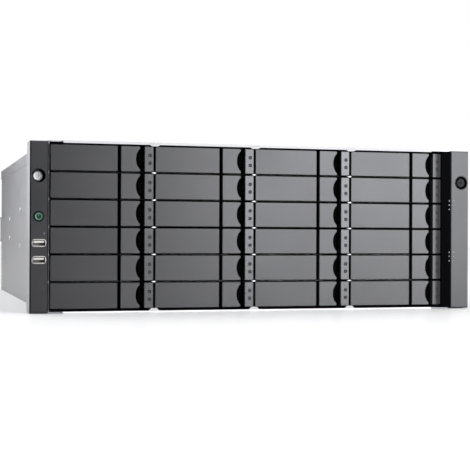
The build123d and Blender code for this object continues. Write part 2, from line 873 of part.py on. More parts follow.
def supply_bay():
    """Sheet-metal bay for the power supplies: an inner side wall and the shelf between them."""
    y_limits = (rear - supply_length - bay_lead, rear - sheet)
    wall_x = (bay_left, bay_left + supply_shelf)
    wall = block(wall_x, y_limits, (sheet, bay_top + supply_shelf))
    shelf_x = (bay_left + supply_shelf, inner_half)
    shelf = block(shelf_x, y_limits, (shelf_bottom, shelf_bottom + supply_shelf))
    roof = block(shelf_x, y_limits, (bay_top, bay_top + supply_shelf))
    return wall + shelf + roof


def supply_inlet(x, z):
    """Moulded mains inlet with two cut corners, and its three contacts."""
    plane = Plane(origin=(x, rear, z), x_dir=(-1, 0, 0), z_dir=(0, 1, 0))
    body = extrude(plane * Rectangle(inlet_width, inlet_height), amount=-inlet_depth)
    mouth = Rectangle(inlet_width - 2 * inlet_wall, inlet_height - 2 * inlet_wall)
    mouth = chamfer(mouth.vertices().group_by(Axis.Y)[-1], inlet_corner)
    body -= extrude(plane * mouth, amount=-inlet_depth + inlet_wall)
    pieces = [body]
    contact_y = (rear - inlet_depth + inlet_wall, rear - contact_setback)
    for place in (-1, 0, 1):
        middle_x = x + place * contact_spread
        middle_z = z + contact_rise - 2 * abs(place) * contact_rise
        contact_x = (middle_x - contact_thickness / 2, middle_x + contact_thickness / 2)
        contact_z = (middle_z - contact_width / 2, middle_z + contact_width / 2)
        pieces.append(block(contact_x, contact_y, contact_z))
    return pieces


def supply(bottom):
    """Power supply module: case with air slits, mains inlet, pull handle and the latch's lugs."""
    y_limits = (rear - supply_length, rear)
    middle_z = bottom + supply_height / 2
    case = block((supply_left, supply_right), y_limits, (bottom, bottom + supply_height))
    inlet_x = supply_left + inlet_margin + inlet_width / 2
    inlet_span = (inlet_x - inlet_width / 2, inlet_x + inlet_width / 2)
    inlet_z = (middle_z - inlet_height / 2, middle_z + inlet_height / 2)
    case -= block(inlet_span, (rear - inlet_depth, rear + overcut), inlet_z)
    slit_x = (pull_left + pull_thickness, pull_right - pull_thickness)
    for index in range(vent_slit_count):
        slit_middle = middle_z + (index - (vent_slit_count - 1) / 2) * vent_slit_pitch
        slit_z = (slit_middle - vent_slit_height / 2, slit_middle + vent_slit_height / 2)
        case -= block(slit_x, (rear - vent_slit_depth, rear + overcut), slit_z)
    pieces = [case] + supply_inlet(inlet_x, middle_z)
    return pieces + [pull_handle(middle_z)] + latch_lugs(middle_z)


def pull_handle(middle_z):
    """Bent strip handle over the air slits that stands behind the case."""
    z_limits = (middle_z - pull_width / 2, middle_z + pull_width / 2)
    outer = block((pull_left, pull_right), (rear, rear + pull_reach), z_limits)
    outer = fillet(outer.edges().filter_by(Axis.Z).group_by(Axis.Y)[-1], pull_round)
    inner_x = (pull_left + pull_thickness, pull_right - pull_thickness)
    inner = block(inner_x, (rear - overcut, rear + pull_reach - pull_thickness), z_limits)
    inner_round = pull_round - pull_thickness
    inner = fillet(inner.edges().filter_by(Axis.Z).group_by(Axis.Y)[-1], inner_round)
    return outer - inner


def latch_lugs(middle_z):
    """Two lugs on the case that hold the latch's pin, and the pin."""
    half = latch_height / 2
    pieces = []
    for low in (middle_z - half - latch_lug - seat_gap, middle_z + half + seat_gap):
        z_limits = (low, low + latch_lug)
        x_limits = (latch_x - latch_knuckle, latch_x + latch_knuckle)
        lug = block(x_limits, (rear, latch_y), z_limits)
        lug += rod_along_z(latch_x, latch_y, z_limits, latch_knuckle)
        pieces.append(lug - rod_along_z(latch_x, latch_y, z_limits, pin_radius))
    reach = half + seat_gap + latch_lug
    pieces.append(rod_along_z(latch_x, latch_y, (middle_z - reach, middle_z + reach), pin_radius))
    return pieces


def supply_latch(bottom):
    """Release lever beside the handle: a knuckle round its pin, a blade and a thumb tab."""
    middle_z = bottom + supply_height / 2
    z_limits = (middle_z - latch_height / 2, middle_z + latch_height / 2)
    half = latch_thickness / 2
    end = rear + latch_length
    lever = block((latch_x - half, latch_x + half), (latch_y, end), z_limits)
    lever += block((latch_x - latch_thumb, latch_x + half), (end - latch_thickness, end), z_limits)
    lever += rod_along_z(latch_x, latch_y, z_limits, latch_knuckle)
    return lever - rod_along_z(latch_x, latch_y, z_limits, pin_radius + pin_clearance)


def side_screw(side, y, z, seat):
    """Low screw head on a surface that faces sideways, at a distance from the middle."""
    x = side * (seat + head_height / 2)
    return Pos(x, y, z) * Cylinder(head_radius, head_height, rotation=(0, 90, 0))


def screws():
    """Screws on the chassis sides: a pair on each rail, a pair beside it and a pair on each ear's tail."""
    heads = []
    tail_y = (ear_back + tail_end) / 2
    for side in (-1, 1):
        for up in (-1, 1):
            rail_z = slide_middle + up * rail_screw_spread
            side_z = slide_middle + up * side_screw_spread
            tail_z = chassis_height / 2 + up * (chassis_height / 2 - tail_screw_inset)
            heads.append(side_screw(side, front + rail_screw_setback, rail_z, half_chassis + slide_web))
            heads.append(side_screw(side, front + side_screw_setback, side_z, half_chassis))
            heads.append(side_screw(side, tail_y, tail_z, half_chassis + ear_wall))
    return heads


os.makedirs("parts", exist_ok=True)

nodes = {
    "base_tray": [base_tray()],
    "top_cover": [top_cover()],
    "rear_panel": [rear_panel(), vent_plate()] + slot_covers(),
    "drive_cage": drive_cage(),
    "backplane": backplane(),
    "ear_bracket_left": [ear_bracket(-1)],
    "ear_bracket_right": [ear_bracket(1)],
    "ear_bezel_left": [ear_bezel(-1)],
    "ear_bezel_right": [ear_bezel(1)],
    "usb_sockets": usb_sockets(),
    "front_trim": front_trim(),
    "status_lights": status_lights(),
    "thumb_screw_left": [thumb_screw(-1)],
    "thumb_screw_right": [thumb_screw(1)],
    "power_button": [power_button()],
    "slide_rails": slide_rails(),
    "screws": screws(),
    "fan_frames": [fan_frame(index) for index in range(fan_count)],
    "mainboard": mainboard(),
    "rear_sockets": rear_sockets(),
    "supply_bay": [supply_bay()],
    "supply_lower": supply(lower_supply_bottom),
    "supply_upper": supply(upper_supply_bottom),
    "supply_latch_lower": [supply_latch(lower_supply_bottom)],
    "supply_latch_upper": [supply_latch(upper_supply_bottom)],
}

for index in range(fan_count):
    nodes[f"fan_rotor_{index + 1}"] = [fan_rotor(index)]

# Carriers of the top row have their handle and button as pieces of their own, which move.
for column in range(columns):
    for row in range(rows):
        x, z = carrier_origin(column, row)
        label = f"c{column + 1}_r{rows - row}"
        handle = carrier_handle(x, z)
        button = carrier_button(x, z)
        if row == rows - 1:
            nodes[f"carrier_{label}"] = carrier_frame(x, z)
            nodes[f"handle_{label}"] = [handle]
            nodes[f"release_{label}"] = [button]
        else:
            nodes[f"carrier_{label}"] = carrier_frame(x, z) + [handle, button]

for name, pieces in nodes.items():
    export_step(group(pieces), f"parts/{name}.step")
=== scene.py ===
# %% [markdown]
# Video storage appliance: how its looks are built
#
# The model comes in as a fixed frame of rigid pieces at their real size. This lesson dresses that frame: it
# gives each piece a finish that is worked out by nodes, and adds the small things that catch light, such as
# knurled screws, lamp rings, sockets and screw heads. Lengths are in metres, X runs right, Y back and Z up.

# %% Load the frame
import math

import bmesh
import bpy
from mathutils import Matrix, Vector


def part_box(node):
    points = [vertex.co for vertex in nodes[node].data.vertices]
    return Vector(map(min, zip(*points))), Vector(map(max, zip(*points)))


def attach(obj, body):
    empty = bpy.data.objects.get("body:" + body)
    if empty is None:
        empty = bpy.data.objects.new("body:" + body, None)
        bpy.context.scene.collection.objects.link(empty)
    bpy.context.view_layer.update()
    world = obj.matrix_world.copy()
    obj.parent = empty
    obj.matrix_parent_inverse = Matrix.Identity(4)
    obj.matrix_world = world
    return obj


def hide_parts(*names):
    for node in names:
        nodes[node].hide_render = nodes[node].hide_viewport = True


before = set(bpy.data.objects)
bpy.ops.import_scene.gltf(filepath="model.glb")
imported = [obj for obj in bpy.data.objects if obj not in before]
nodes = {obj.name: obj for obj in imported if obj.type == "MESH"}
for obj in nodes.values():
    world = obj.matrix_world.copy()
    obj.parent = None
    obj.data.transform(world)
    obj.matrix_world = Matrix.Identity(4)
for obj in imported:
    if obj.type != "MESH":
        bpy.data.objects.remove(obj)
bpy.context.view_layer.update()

# %% [markdown]
# A material is a tree of nodes. Writing it as sums is easier to read than wiring sockets by hand, so one small
# class wraps an output socket: adding, subtracting or multiplying two wires adds a Math node. Every other node
# comes from one method, which takes the node's type, its settings and what goes into its sockets.

# %% Write shader maths as expressions
class Wire:
    """An output socket of a node tree, with arithmetic."""

    def __init__(self, tree, socket):
        self.tree = tree
        self.socket = socket

    def node(self, kind, settings=None, sockets=None, output=0):
        return add_node(self.tree, kind, settings, sockets, output)

    def sum(self, operation, *values):
        return self.node("ShaderNodeMath", {"operation": operation}, dict(enumerate(values)))

    def __add__(self, other):
        return self.sum("ADD", self, other)

    def __radd__(self, other):
        return self.sum("ADD", other, self)

    def __sub__(self, other):
        return self.sum("SUBTRACT", self, other)

    def __rsub__(self, other):
        return self.sum("SUBTRACT", other, self)

    def __mul__(self, other):
        return self.sum("MULTIPLY", self, other)

    def __rmul__(self, other):
        return self.sum("MULTIPLY", other, self)

    def above(self, limit):
        return self.sum("GREATER_THAN", self, limit)

    def between(self, low, high):
        """0 below the low limit, 1 above the high one, and a soft step in between."""
        limits = {"Value": self, "From Min": low, "From Max": high}
        return self.node("ShaderNodeMapRange", {"interpolation_type": "SMOOTHSTEP"}, limits)

    def tint(self, low, high):
        """A colour between two colours, by this value from 0 to 1."""
        inputs = {0: self, 6: (*low, 1), 7: (*high, 1)}
        return self.node("ShaderNodeMix", {"data_type": "RGBA"}, inputs, output=2)


def add_node(tree, kind, settings=None, sockets=None, output=0):
    """Adds a node: its settings first, then the values or wires of its sockets."""
    node = tree.nodes.new(kind)
    for name, value in (settings or {}).items():
        setattr(node, name, value)
    for name, value in (sockets or {}).items():
        if isinstance(value, Wire):
            tree.links.new(value.socket, node.inputs[name])
        else:
            node.inputs[name].default_value = value
    return Wire(tree, node.outputs[output])


def place(tree, stretch=(1, 1, 1)):
    """Object coordinates, stretched along each axis."""
    here = add_node(tree, "ShaderNodeTexCoord", output=3)
    return here.node("ShaderNodeMapping", None, {"Vector": here, "Scale": stretch})


def noise(tree, scale, detail=2.0, stretch=(1, 1, 1)):
    where = place(tree, stretch)
    return where.node("ShaderNodeTexNoise", None, {"Vector": where, "Scale": scale, "Detail": detail})


def bump(height, strength, distance):
    return height.node("ShaderNodeBump", None, {"Height": height, "Strength": strength, "Distance": distance})


def finish(name, fixed, varying):
    """A material with one surface shader: fixed values on its sockets, and the recipe's wires."""
    material = bpy.data.materials.new(name)
    material.use_nodes = True
    tree = material.node_tree
    surface = tree.nodes["Principled BSDF"]
    for socket, value in fixed.items():
        surface.inputs[socket].default_value = value
    for socket, wire in varying(tree).items():
        tree.links.new(wire.socket, surface.inputs[socket])
    print("finish:", name)
    return material


# %% [markdown]
# The carrier fronts and ear bezels are dark grey with a satin sheen. Such a finish is a moulded grain or a fine
# powder coat: thousands of tiny bumps that spread a reflection without hiding it. Two noises do that here, a
# fine one for the grain and a slow one that makes the colour and the roughness drift a little.

# %% Satin greys and blacks
def satin(name, dark, light, roughness, specular=0.5, grain_size=0.0005, grain_depth=0.00002):
    def recipe(tree):
        drift = noise(tree, 18.0, 3.0)
        grain = noise(tree, 1.0 / grain_size, 2.0)
        mottled = drift * 0.7 + grain * 0.3
        return {
            "Base Color": mottled.tint(dark, light),
            "Roughness": drift * 0.12 + (roughness - 0.06),
            "Normal": bump(grain, 0.35, grain_depth),
        }

    return finish(name, {"Specular IOR Level": specular}, recipe)


panel_grey = satin("panel_grey", (0.005, 0.005, 0.0065), (0.009, 0.009, 0.0105), 0.30, 0.58)
handle_grey = satin("handle_grey", (0.013, 0.013, 0.015), (0.019, 0.019, 0.021), 0.31, 0.6)
strip_grey = satin("strip_grey", (0.008, 0.008, 0.010), (0.015, 0.015, 0.017), 0.28, 0.78)
bezel_grey = satin("bezel_grey", (0.004, 0.004, 0.0055), (0.007, 0.007, 0.0085), 0.31, 0.52)
satin_black = satin("satin_black", (0.006, 0.006, 0.007), (0.012, 0.012, 0.013), 0.45)
# The deepest black serves real black parts, such as the release buttons and the jack insides, and painted shade: recess
# floors and gap walls of the carriers, the dividers' front edges, the left bezel's outer side, the right thumb screw's
# well rim and the holes of the display socket.
black_and_painted_shade = satin("black_and_painted_shade", (0.0008, 0.0008, 0.0008), (0.0018, 0.0018, 0.0018), 0.7, 0.03)
# A dark knob finish: painted shade for the right thumb screw, which is chrome like the left one.
knob_in_painted_shade = satin("knob_in_painted_shade", (0.012, 0.012, 0.013), (0.026, 0.026, 0.028), 0.42, 0.16)
bar_black = satin("bar_black", (0.0018, 0.0018, 0.0024), (0.0030, 0.0030, 0.0038), 0.35, 0.0, 0.002, 0.000004)
trim_black = satin("trim_black", (0.008, 0.008, 0.009), (0.012, 0.012, 0.013), 0.5, 0.1)
port_white = satin("port_white", (0.55, 0.54, 0.52), (0.62, 0.61, 0.58), 0.40)

# %% [markdown]
# Beside the light bar the last column's strips fade to black. That is painted shade: the darkening that the proud
# bar casts on them is mixed into their colour. One number from 0 to 1 across the strip mixes the grey finish
# with a black one.

# %% The strip with painted shade
def strip_with_painted_shade():
    material = bpy.data.materials.new("strip_painted_shade")
    material.use_nodes = True
    tree = material.node_tree
    grey = tree.nodes["Principled BSDF"]
    black = tree.nodes.new("ShaderNodeBsdfPrincipled")
    grain = noise(tree, 2000.0)
    where = place(tree)
    # Painted shade: towards the light bar the black shader takes over.
    across = where.node("ShaderNodeSeparateXYZ", None, {"Vector": where}).between(0.1982, 0.2045)
    for surface, tones, specular in (
        (grey, ((0.028, 0.028, 0.031), (0.040, 0.040, 0.043)), 0.8),
        (black, ((0.003, 0.003, 0.004), (0.006, 0.006, 0.007)), 0.1),
    ):
        tree.links.new(grain.tint(*tones).socket, surface.inputs["Base Color"])
        surface.inputs["Roughness"].default_value = 0.4
        surface.inputs["Specular IOR Level"].default_value = specular
    mix = tree.nodes.new("ShaderNodeMixShader")
    tree.links.new((across * 0.85 + 0.1).socket, mix.inputs[0])
    tree.links.new(grey.outputs[0], mix.inputs[1])
    tree.links.new(black.outputs[0], mix.inputs[2])
    tree.links.new(mix.outputs[0], tree.nodes["Material Output"].inputs["Surface"])
    return material


strip_painted_shade = strip_with_painted_shade()

# %% [markdown]
# The chassis is zinc-plated sheet steel. Zinc grows in flat crystals, which show as a faint patchwork, and the
# rolling mill leaves fine lines along the sheet. A cell pattern gives the crystals and a noise stretched along
# the sheet gives the lines, both weak, because at arm's length the metal reads as one soft grey.

# %% Sheet metals
def metal(name, low, high, roughness, cell=0.006, streak=(60.0, 900.0, 900.0), depth=0.000004):
    def recipe(tree):
        where = place(tree)
        inputs = {"Vector": where, "Scale": 1.0 / cell}
        crystals = where.node("ShaderNodeTexVoronoi", {"feature": "F1"}, inputs, output=1)
        patch = crystals.node("ShaderNodeSeparateColor", None, {"Color": crystals})
        lines = noise(tree, 1.0, 3.0, streak)
        tone = patch * 0.45 + lines * 0.55
        return {
            "Base Color": tone.tint(low, high),
            "Roughness": tone * 0.14 + (roughness - 0.07),
            "Normal": bump(lines, 0.25, depth),
        }

    return finish(name, {"Metallic": 1.0}, recipe)


zinc_sheet = metal("zinc_sheet", (0.29, 0.29, 0.30), (0.36, 0.36, 0.37), 0.42)
bright_steel = metal("bright_steel", (0.52, 0.52, 0.53), (0.62, 0.62, 0.63), 0.30, 0.003)
cast_aluminium = metal("cast_aluminium", (0.17, 0.17, 0.18), (0.25, 0.25, 0.26), 0.48, 0.0012, (400, 400, 400))
drive_lid = metal("drive_lid", (0.30, 0.30, 0.31), (0.37, 0.37, 0.39), 0.36, 0.01)
nickel = metal("nickel", (0.62, 0.59, 0.55), (0.74, 0.71, 0.67), 0.24, 0.002)
gold_contact = metal("gold_contact", (0.78, 0.56, 0.22), (0.88, 0.66, 0.30), 0.25, 0.002)
chrome = metal("chrome", (0.78, 0.78, 0.80), (0.88, 0.88, 0.90), 0.16, 0.004)
rim_steel = metal("rim_steel", (0.31, 0.30, 0.29), (0.39, 0.38, 0.37), 0.34, 0.003)
# The inside of a port's shell: the same steel painted darker, as shade.
port_steel_in_painted_shade = metal("port_steel_in_painted_shade", (0.18, 0.18, 0.18), (0.26, 0.26, 0.26), 0.45, 0.003)
white_zinc = metal("white_zinc", (0.86, 0.86, 0.87), (0.94, 0.94, 0.94), 0.42, 0.0012, (900, 900, 900))
black_zinc = metal("black_zinc", (0.16, 0.16, 0.17), (0.24, 0.24, 0.25), 0.40, 0.0012, (900, 900, 900))

# %% [markdown]
# The lips above and below the carriers, and the noses at the crossings of the gaps, look almost white: bare
# edges of plated steel that pick up the white room. That reflection is painted on as a pale matte colour, and a
# duller grey of the same painted reflection serves the top lip and the cage's feet. Circuit boards are glass
# fibre under a green mask, with copper tracks that stand up a little. Lamps are small lenses that glow by themselves.

# %% Edges with painted reflection, boards and lamps
def pale_reflection_recipe(tree):
    grain = noise(tree, 600.0, 2.0)
    return {"Base Color": grain.tint((0.80, 0.80, 0.81), (0.90, 0.90, 0.90)), "Roughness": grain * 0.1 + 0.35}


# A pale matte colour painted on for the reflection of the white room, on steel edges and the left knob.
pale_painted_reflection = finish("pale_painted_reflection", {"Metallic": 0.0}, pale_reflection_recipe)


def lip_reflection_recipe(tree):
    grain = noise(tree, 600.0, 2.0)
    return {"Base Color": grain.tint((0.41, 0.41, 0.42), (0.48, 0.48, 0.48)), "Roughness": grain * 0.1 + 0.35}


# A duller grey of the same painted reflection, for the top lip and the cage's feet.
lip_painted_reflection = finish("lip_painted_reflection", {"Metallic": 0.0}, lip_reflection_recipe)


def board_recipe(tree):
    tracks = noise(tree, 1.0, 1.0, (900.0, 60.0, 900.0)).above(0.54)
    tone = tracks * 0.5 + noise(tree, 30.0) * 0.5
    return {
        "Base Color": tone.tint((0.008, 0.050, 0.022), (0.020, 0.110, 0.050)),
        "Roughness": 0.42 - tracks * 0.1,
        "Normal": bump(tracks, 0.3, 0.00003),
    }


solder_mask = finish("solder_mask", {"Coat Weight": 0.3}, board_recipe)


def lamp(name, colour, strength):
    def recipe(tree):
        speckle = noise(tree, 2500.0, 1.0)
        shade = speckle.tint(tuple(0.8 * part for part in colour), colour)
        return {"Emission Color": shade, "Base Color": shade, "Roughness": speckle * 0.1 + 0.2}

    return finish(name, {"Emission Strength": strength}, recipe)


white_lamp = lamp("white_lamp", (0.07, 0.073, 0.077), 0.25)
faint_lamp = lamp("faint_lamp", (0.12, 0.13, 0.17), 0.3)
green_lamp = lamp("green_lamp", (0.085, 0.17, 0.13), 0.35)
amber_lamp = lamp("amber_lamp", (0.70, 0.32, 0.04), 0.1)
ring_grey = satin("ring_grey", (0.006, 0.006, 0.007), (0.012, 0.012, 0.013), 0.40, 0.14)

# %% [markdown]
# Each node of the frame came with one plain material. Most pieces keep a single finish. Where one node holds
# several pieces, its faces are sorted by where they lie, and one rule serves all 24 carriers, because it
# measures from the carrier's own corner.

# %% Paint the frame's nodes
def paint(node, materials, choose=lambda middle, normal: 0):
    """Gives each face of a frame node one of the materials, by the face's middle."""
    data = nodes[node].data
    data.materials.clear()
    for material in materials:
        data.materials.append(material)
    for face in data.polygons:
        face.material_index = choose(face.center, face.normal)


def paint_carrier(node):
    low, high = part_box(node)
    # The last column's strips get the painted shade beside the light bar.
    strip = strip_painted_shade if "_c4_" in node else strip_grey

    # Recess floors, and the walls behind the panels in the gaps, take the black of painted shade.
    def choose(middle, normal):
        x, y = middle.x - low.x, middle.y - low.y
        if y < 0.0119:
            if x < 0.0689:
                return 0
            if x > 0.0957:
                return 1
            return 2 if y < 0.0056 and x > 0.0712 and x < 0.0936 and not node.endswith("_r1") else 3
        if y < 0.0141:
            return 3
        if x < 0.0021 or x > high.x - low.x - 0.0021:
            return 4
        return 6 if abs(normal.z) > 0.9 else 5

    materials = [panel_grey, strip, handle_grey, black_and_painted_shade, bright_steel, cast_aluminium, drive_lid]
    paint(node, materials, choose)


front = -0.295
carriers = sorted(name for name in nodes if name.startswith("carrier_"))
for name in carriers:
    paint_carrier(name)
for name in ("rear_panel", "supply_bay", "slide_rails", "ear_bracket_left", "ear_bracket_right"):
    paint(name, [zinc_sheet])
# The front lips of the tray and the cover carry the painted reflection.
paint("base_tray", [zinc_sheet, pale_painted_reflection], lambda middle, normal: int(middle.y < front + 0.0035))
paint("top_cover", [zinc_sheet, lip_painted_reflection], lambda middle, normal: int(middle.y < front + 0.0035))


def cage_zone(middle, normal):
    """Bright noses and duller feet at both lips in painted reflection, black front edges of the dividers as painted
    shade, and bare sheet behind.
    """
    if middle.y > front + 0.0045:
        return 0
    if middle.y > front + 0.0039:
        return 2
    return 1 if 0.02 < middle.z < 0.16 else 3


paint("drive_cage", [zinc_sheet, pale_painted_reflection, black_and_painted_shade, lip_painted_reflection], cage_zone)
# The slanted outer side of the left bezel is painted black, as shade.
paint("ear_bezel_left", [bezel_grey, black_and_painted_shade], lambda middle, normal: int(normal.x < -0.3 and middle.x < -0.240))
paint("ear_bezel_right", [bezel_grey])
for name in ("fan_frames", "fan_rotor_1", "fan_rotor_2", "fan_rotor_3", "supply_latch_lower", "supply_latch_upper"):
    paint(name, [satin_black])
for name in ("backplane", "mainboard"):
    paint(name, [solder_mask])
paint("front_trim", [trim_black, bar_black], lambda middle, normal: int(middle.x > 0))
paint("status_lights", [white_lamp, faint_lamp], lambda middle, normal: int(middle.x < 0))
for name in nodes:
    if name.startswith("handle_"):
        paint(name, [handle_grey])
    if name.startswith("release_"):
        paint(name, [black_and_painted_shade])
print("painted carriers:", len(carriers))

# %% [markdown]
# A power supply is a zinc box with a black moulded inlet, nickel contacts and a pull handle of black strip.

# %% Paint the power supplies
def paint_supply(node):
    low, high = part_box(node)
    middle_z = (low.z + high.z) / 2
    rear = 0.295

    def choose(middle, normal):
        x = middle.x - low.x
        if middle.y > rear + 0.0001:
            return 1 if x < 0.0665 else 2
        in_inlet = 0.0059 < x < 0.0331 and middle.y > rear - 0.0161 and abs(middle.z - middle_z) < 0.0101
        if not in_inlet:
            return 0
        near_contact = min(abs(x - 0.0195 - step * 0.007) for step in (-1, 0, 1)) < 0.00105
        return 2 if near_contact and middle.y < rear - 0.0044 and middle.y > rear - 0.0147 else 1

    paint(node, [zinc_sheet, satin_black, nickel], choose)


for name in ("supply_lower", "supply_upper"):
    paint_supply(name)

# %% [markdown]
# A few edges lie a little differently in the photograph than in the frame: both lips stop short of the carriers,
# so that a dark line shows, the ears end half a millimetre lower, and the handles end two millimetres before the
# finger recess does. A finished copy of each of those nodes gets these points moved and takes the node's place.

# %% Adjust lips, ears and handles
def reshape(node, body, moved):
    """Puts a copy of a frame node in its place, with each point moved by the given rule."""
    shape = bmesh.new()
    shape.from_mesh(nodes[node].data)
    bmesh.ops.remove_doubles(shape, verts=shape.verts, dist=0.000001)
    for point in shape.verts:
        point.co += Vector(moved(point.co))
    data = bpy.data.meshes.new(node + "_finished")
    shape.to_mesh(data)
    shape.free()
    for material in nodes[node].data.materials:
        data.materials.append(material)
    piece = bpy.data.objects.new(node + "_finished", data)
    bpy.context.scene.collection.objects.link(piece)
    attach(piece, body)
    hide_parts(node)


def lower_lip(point):
    return (0, 0, -0.0017 if point.y < front + 0.003 and 0.002 < point.z < 0.004 else 0)


def upper_lip(point):
    return (0, 0, 0.0006 if point.y < front + 0.003 and 0.170 < point.z < 0.173 else 0)


def lower_top(point):
    return (0, 0, -0.0006 if point.z > 0.1730 else 0)


def bezel_edges(point):
    """Lowers a bezel's top, and slants the outer side of the left one."""
    slanted = point.x < -0.2408 and point.y < front + 0.0010
    return (0.0009 if slanted else 0, 0, -0.0006 if point.z > 0.1730 else 0)


def cage_ends(point):
    """Stretches the cage's feet to both lips and its diamond noses to the left."""
    if point.y > front + 0.0041:
        return (0, 0, 0)
    if 0.0033 < point.z < 0.0035:
        return (0, 0, -0.0017)
    if 0.1714 < point.z < 0.1718:
        return (0, 0, 0.0006)
    leftmost = min(abs(point.x - middle + 0.0020) for middle in (-0.1142, -0.0066, 0.1010)) < 0.00015
    return (-0.0010 if leftmost and 0.02 < point.z < 0.15 else 0, 0, 0)


def handle_edge(row_middle, recess_start):
    """Moves a handle's right edge left: its tips by 2.0 mm and the middle of its notch by 0.6 mm."""
    def moved(point):
        beside = point.x - recess_start
        if point.y > front + 0.0019 or beside < -0.0066 or beside > 0.0:
            return (0, 0, 0)
        share = min(1, abs(point.z - row_middle) / 0.0122)
        return (-0.0006 - 0.0014 * share * share, 0, 0)

    return moved


reshape("base_tray", "chassis", lower_lip)
reshape("top_cover", "chassis", upper_lip)
for name in ("ear_bezel_left", "ear_bezel_right"):
    reshape(name, "chassis", bezel_edges)
reshape("drive_cage", "chassis", cage_ends)
for name in ("ear_bracket_left", "ear_bracket_right"):
    reshape(name, "chassis", lower_top)
for name in carriers:
    low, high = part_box(name)
    rule = handle_edge((low.z + high.z) / 2, high.x - 0.0121)
    if name.endswith("_r1"):
        handle = name.replace("carrier", "handle")
        reshape(handle, handle, rule)
    else:
        reshape(name, name, rule)

# %% [markdown]
# Small parts are turned or moulded, so two builders make nearly all of them. The first turns a profile round an
# axis, as a lathe does. The second skins a stack of outlines, as a moulding or a drawn shell is. Both make
# closed skins, whose faces are then turned outwards.

# %% Turn profiles and skin outlines
FORWARDS = Matrix.Rotation(math.radians(90), 4, "X")
BACKWARDS = Matrix.Rotation(math.radians(-90), 4, "X")
LEFTWARDS = Matrix.Rotation(math.radians(-90), 4, "Y")
RIGHTWARDS = Matrix.Rotation(math.radians(90), 4, "Y")


def closed_mesh(name, shape):
    bmesh.ops.recalc_face_normals(shape, faces=shape.faces)
    data = bpy.data.meshes.new(name)
    shape.to_mesh(data)
    shape.free()
    return data


def turned(name, profile, segments=40):
    """A profile of (radius, height, material number) points, turned round Z; it starts and ends on the axis."""
    shape = bmesh.new()
    rings = []
    for radius, height, *_ in profile:
        if radius == 0:
            rings.append([shape.verts.new((0, 0, height))] * segments)
            continue
        angles = [2 * math.pi * step / segments for step in range(segments)]
        rings.append([shape.verts.new((radius * math.cos(a), radius * math.sin(a), height)) for a in angles])
    for index, (lower, upper) in enumerate(zip(rings, rings[1:])):
        for step in range(segments):
            after = (step + 1) % segments
            corners = [lower[step], lower[after], upper[after], upper[step]]
            face = shape.faces.new(list(dict.fromkeys(corners)))
            face.material_index = profile[index + 1][2] if len(profile[index + 1]) > 2 else 0
            face.smooth = True
    return closed_mesh(name, shape)


def ring_of(section, segments):
    """A closed section of (radius, height) points turned round Z into a ring."""
    shape = bmesh.new()
    loops = []
    for step in range(segments):
        angle = 2 * math.pi * step / segments
        loops.append([shape.verts.new((r * math.cos(angle), r * math.sin(angle), h)) for r, h in section])
    count = len(section)
    for step in range(segments):
        here, there = loops[step], loops[(step + 1) % segments]
        for index in range(count):
            after = (index + 1) % count
            shape.faces.new([here[index], there[index], there[after], here[after]]).smooth = True
    return closed_mesh("ring", shape)


def rounded(width, height, radius, steps=6):
    """Outline of a rectangle with round corners, as (x, y) points."""
    points = []
    for corner in range(4):
        turn = corner * math.pi / 2
        side_x = 1 if corner in (0, 3) else -1
        side_y = 1 if corner in (0, 1) else -1
        for step in range(steps + 1):
            angle = turn + step / steps * math.pi / 2
            x = side_x * (width / 2 - radius) + radius * math.cos(angle)
            y = side_y * (height / 2 - radius) + radius * math.sin(angle)
            points.append((x, y))
    return points


def skinned(name, layers):
    """A closed skin over (outline, height, material number) layers; outlines have the same point count."""
    shape = bmesh.new()
    loops = [[shape.verts.new((x, y, height)) for x, y in outline] for outline, height, _ in layers]
    count = len(loops[0])
    for index, (lower, upper) in enumerate(zip(loops, loops[1:])):
        for step in range(count):
            after = (step + 1) % count
            face = shape.faces.new([lower[step], lower[after], upper[after], upper[step]])
            face.material_index = layers[index + 1][2]
    for loop, number in ((loops[0], layers[0][2]), (loops[-1], layers[-1][2])):
        shape.faces.new(loop).material_index = number
    return closed_mesh(name, shape)


def slab(name, low, high, bevel=0.0001):
    """A box between two corners, with softened edges."""
    shape = bmesh.new()
    size = Vector(high) - Vector(low)
    middle = (Vector(high) + Vector(low)) / 2
    bmesh.ops.create_cube(shape, size=1, matrix=Matrix.Translation(middle) @ Matrix.Diagonal((*size, 1)))
    bmesh.ops.bevel(shape, geom=shape.edges[:], offset=bevel, segments=1, affect="EDGES")
    return closed_mesh(name, shape)


# %% [markdown]
# Repeated shapes come from Geometry Nodes: a grid tree for screws, lamps and contacts, and a ring tree for the
# knurls of a thumb screw. Each tree is run once for a mesh, and the plain mesh is what stays.

# %% Grow patterns with Geometry Nodes
def pattern_tree(name, inputs):
    tree = bpy.data.node_groups.new(name, "GeometryNodeTree")
    tree.interface.new_socket("Shape", in_out="OUTPUT", socket_type="NodeSocketGeometry")
    for label, kind in inputs.items():
        tree.interface.new_socket(label, in_out="INPUT", socket_type=kind)
    entry = tree.nodes.new("NodeGroupInput")
    return tree, {label: Wire(tree, entry.outputs[label]) for label in inputs}


def close_tree(tree, copies, material):
    """Ends a tree: the copies become one mesh with one material."""
    plain = add_node(tree, "GeometryNodeRealizeInstances", None, {0: copies})
    dressed = add_node(tree, "GeometryNodeSetMaterial", None, {"Geometry": plain, "Material": material})
    tree.links.new(dressed.socket, tree.nodes.new("NodeGroupOutput").inputs[0])


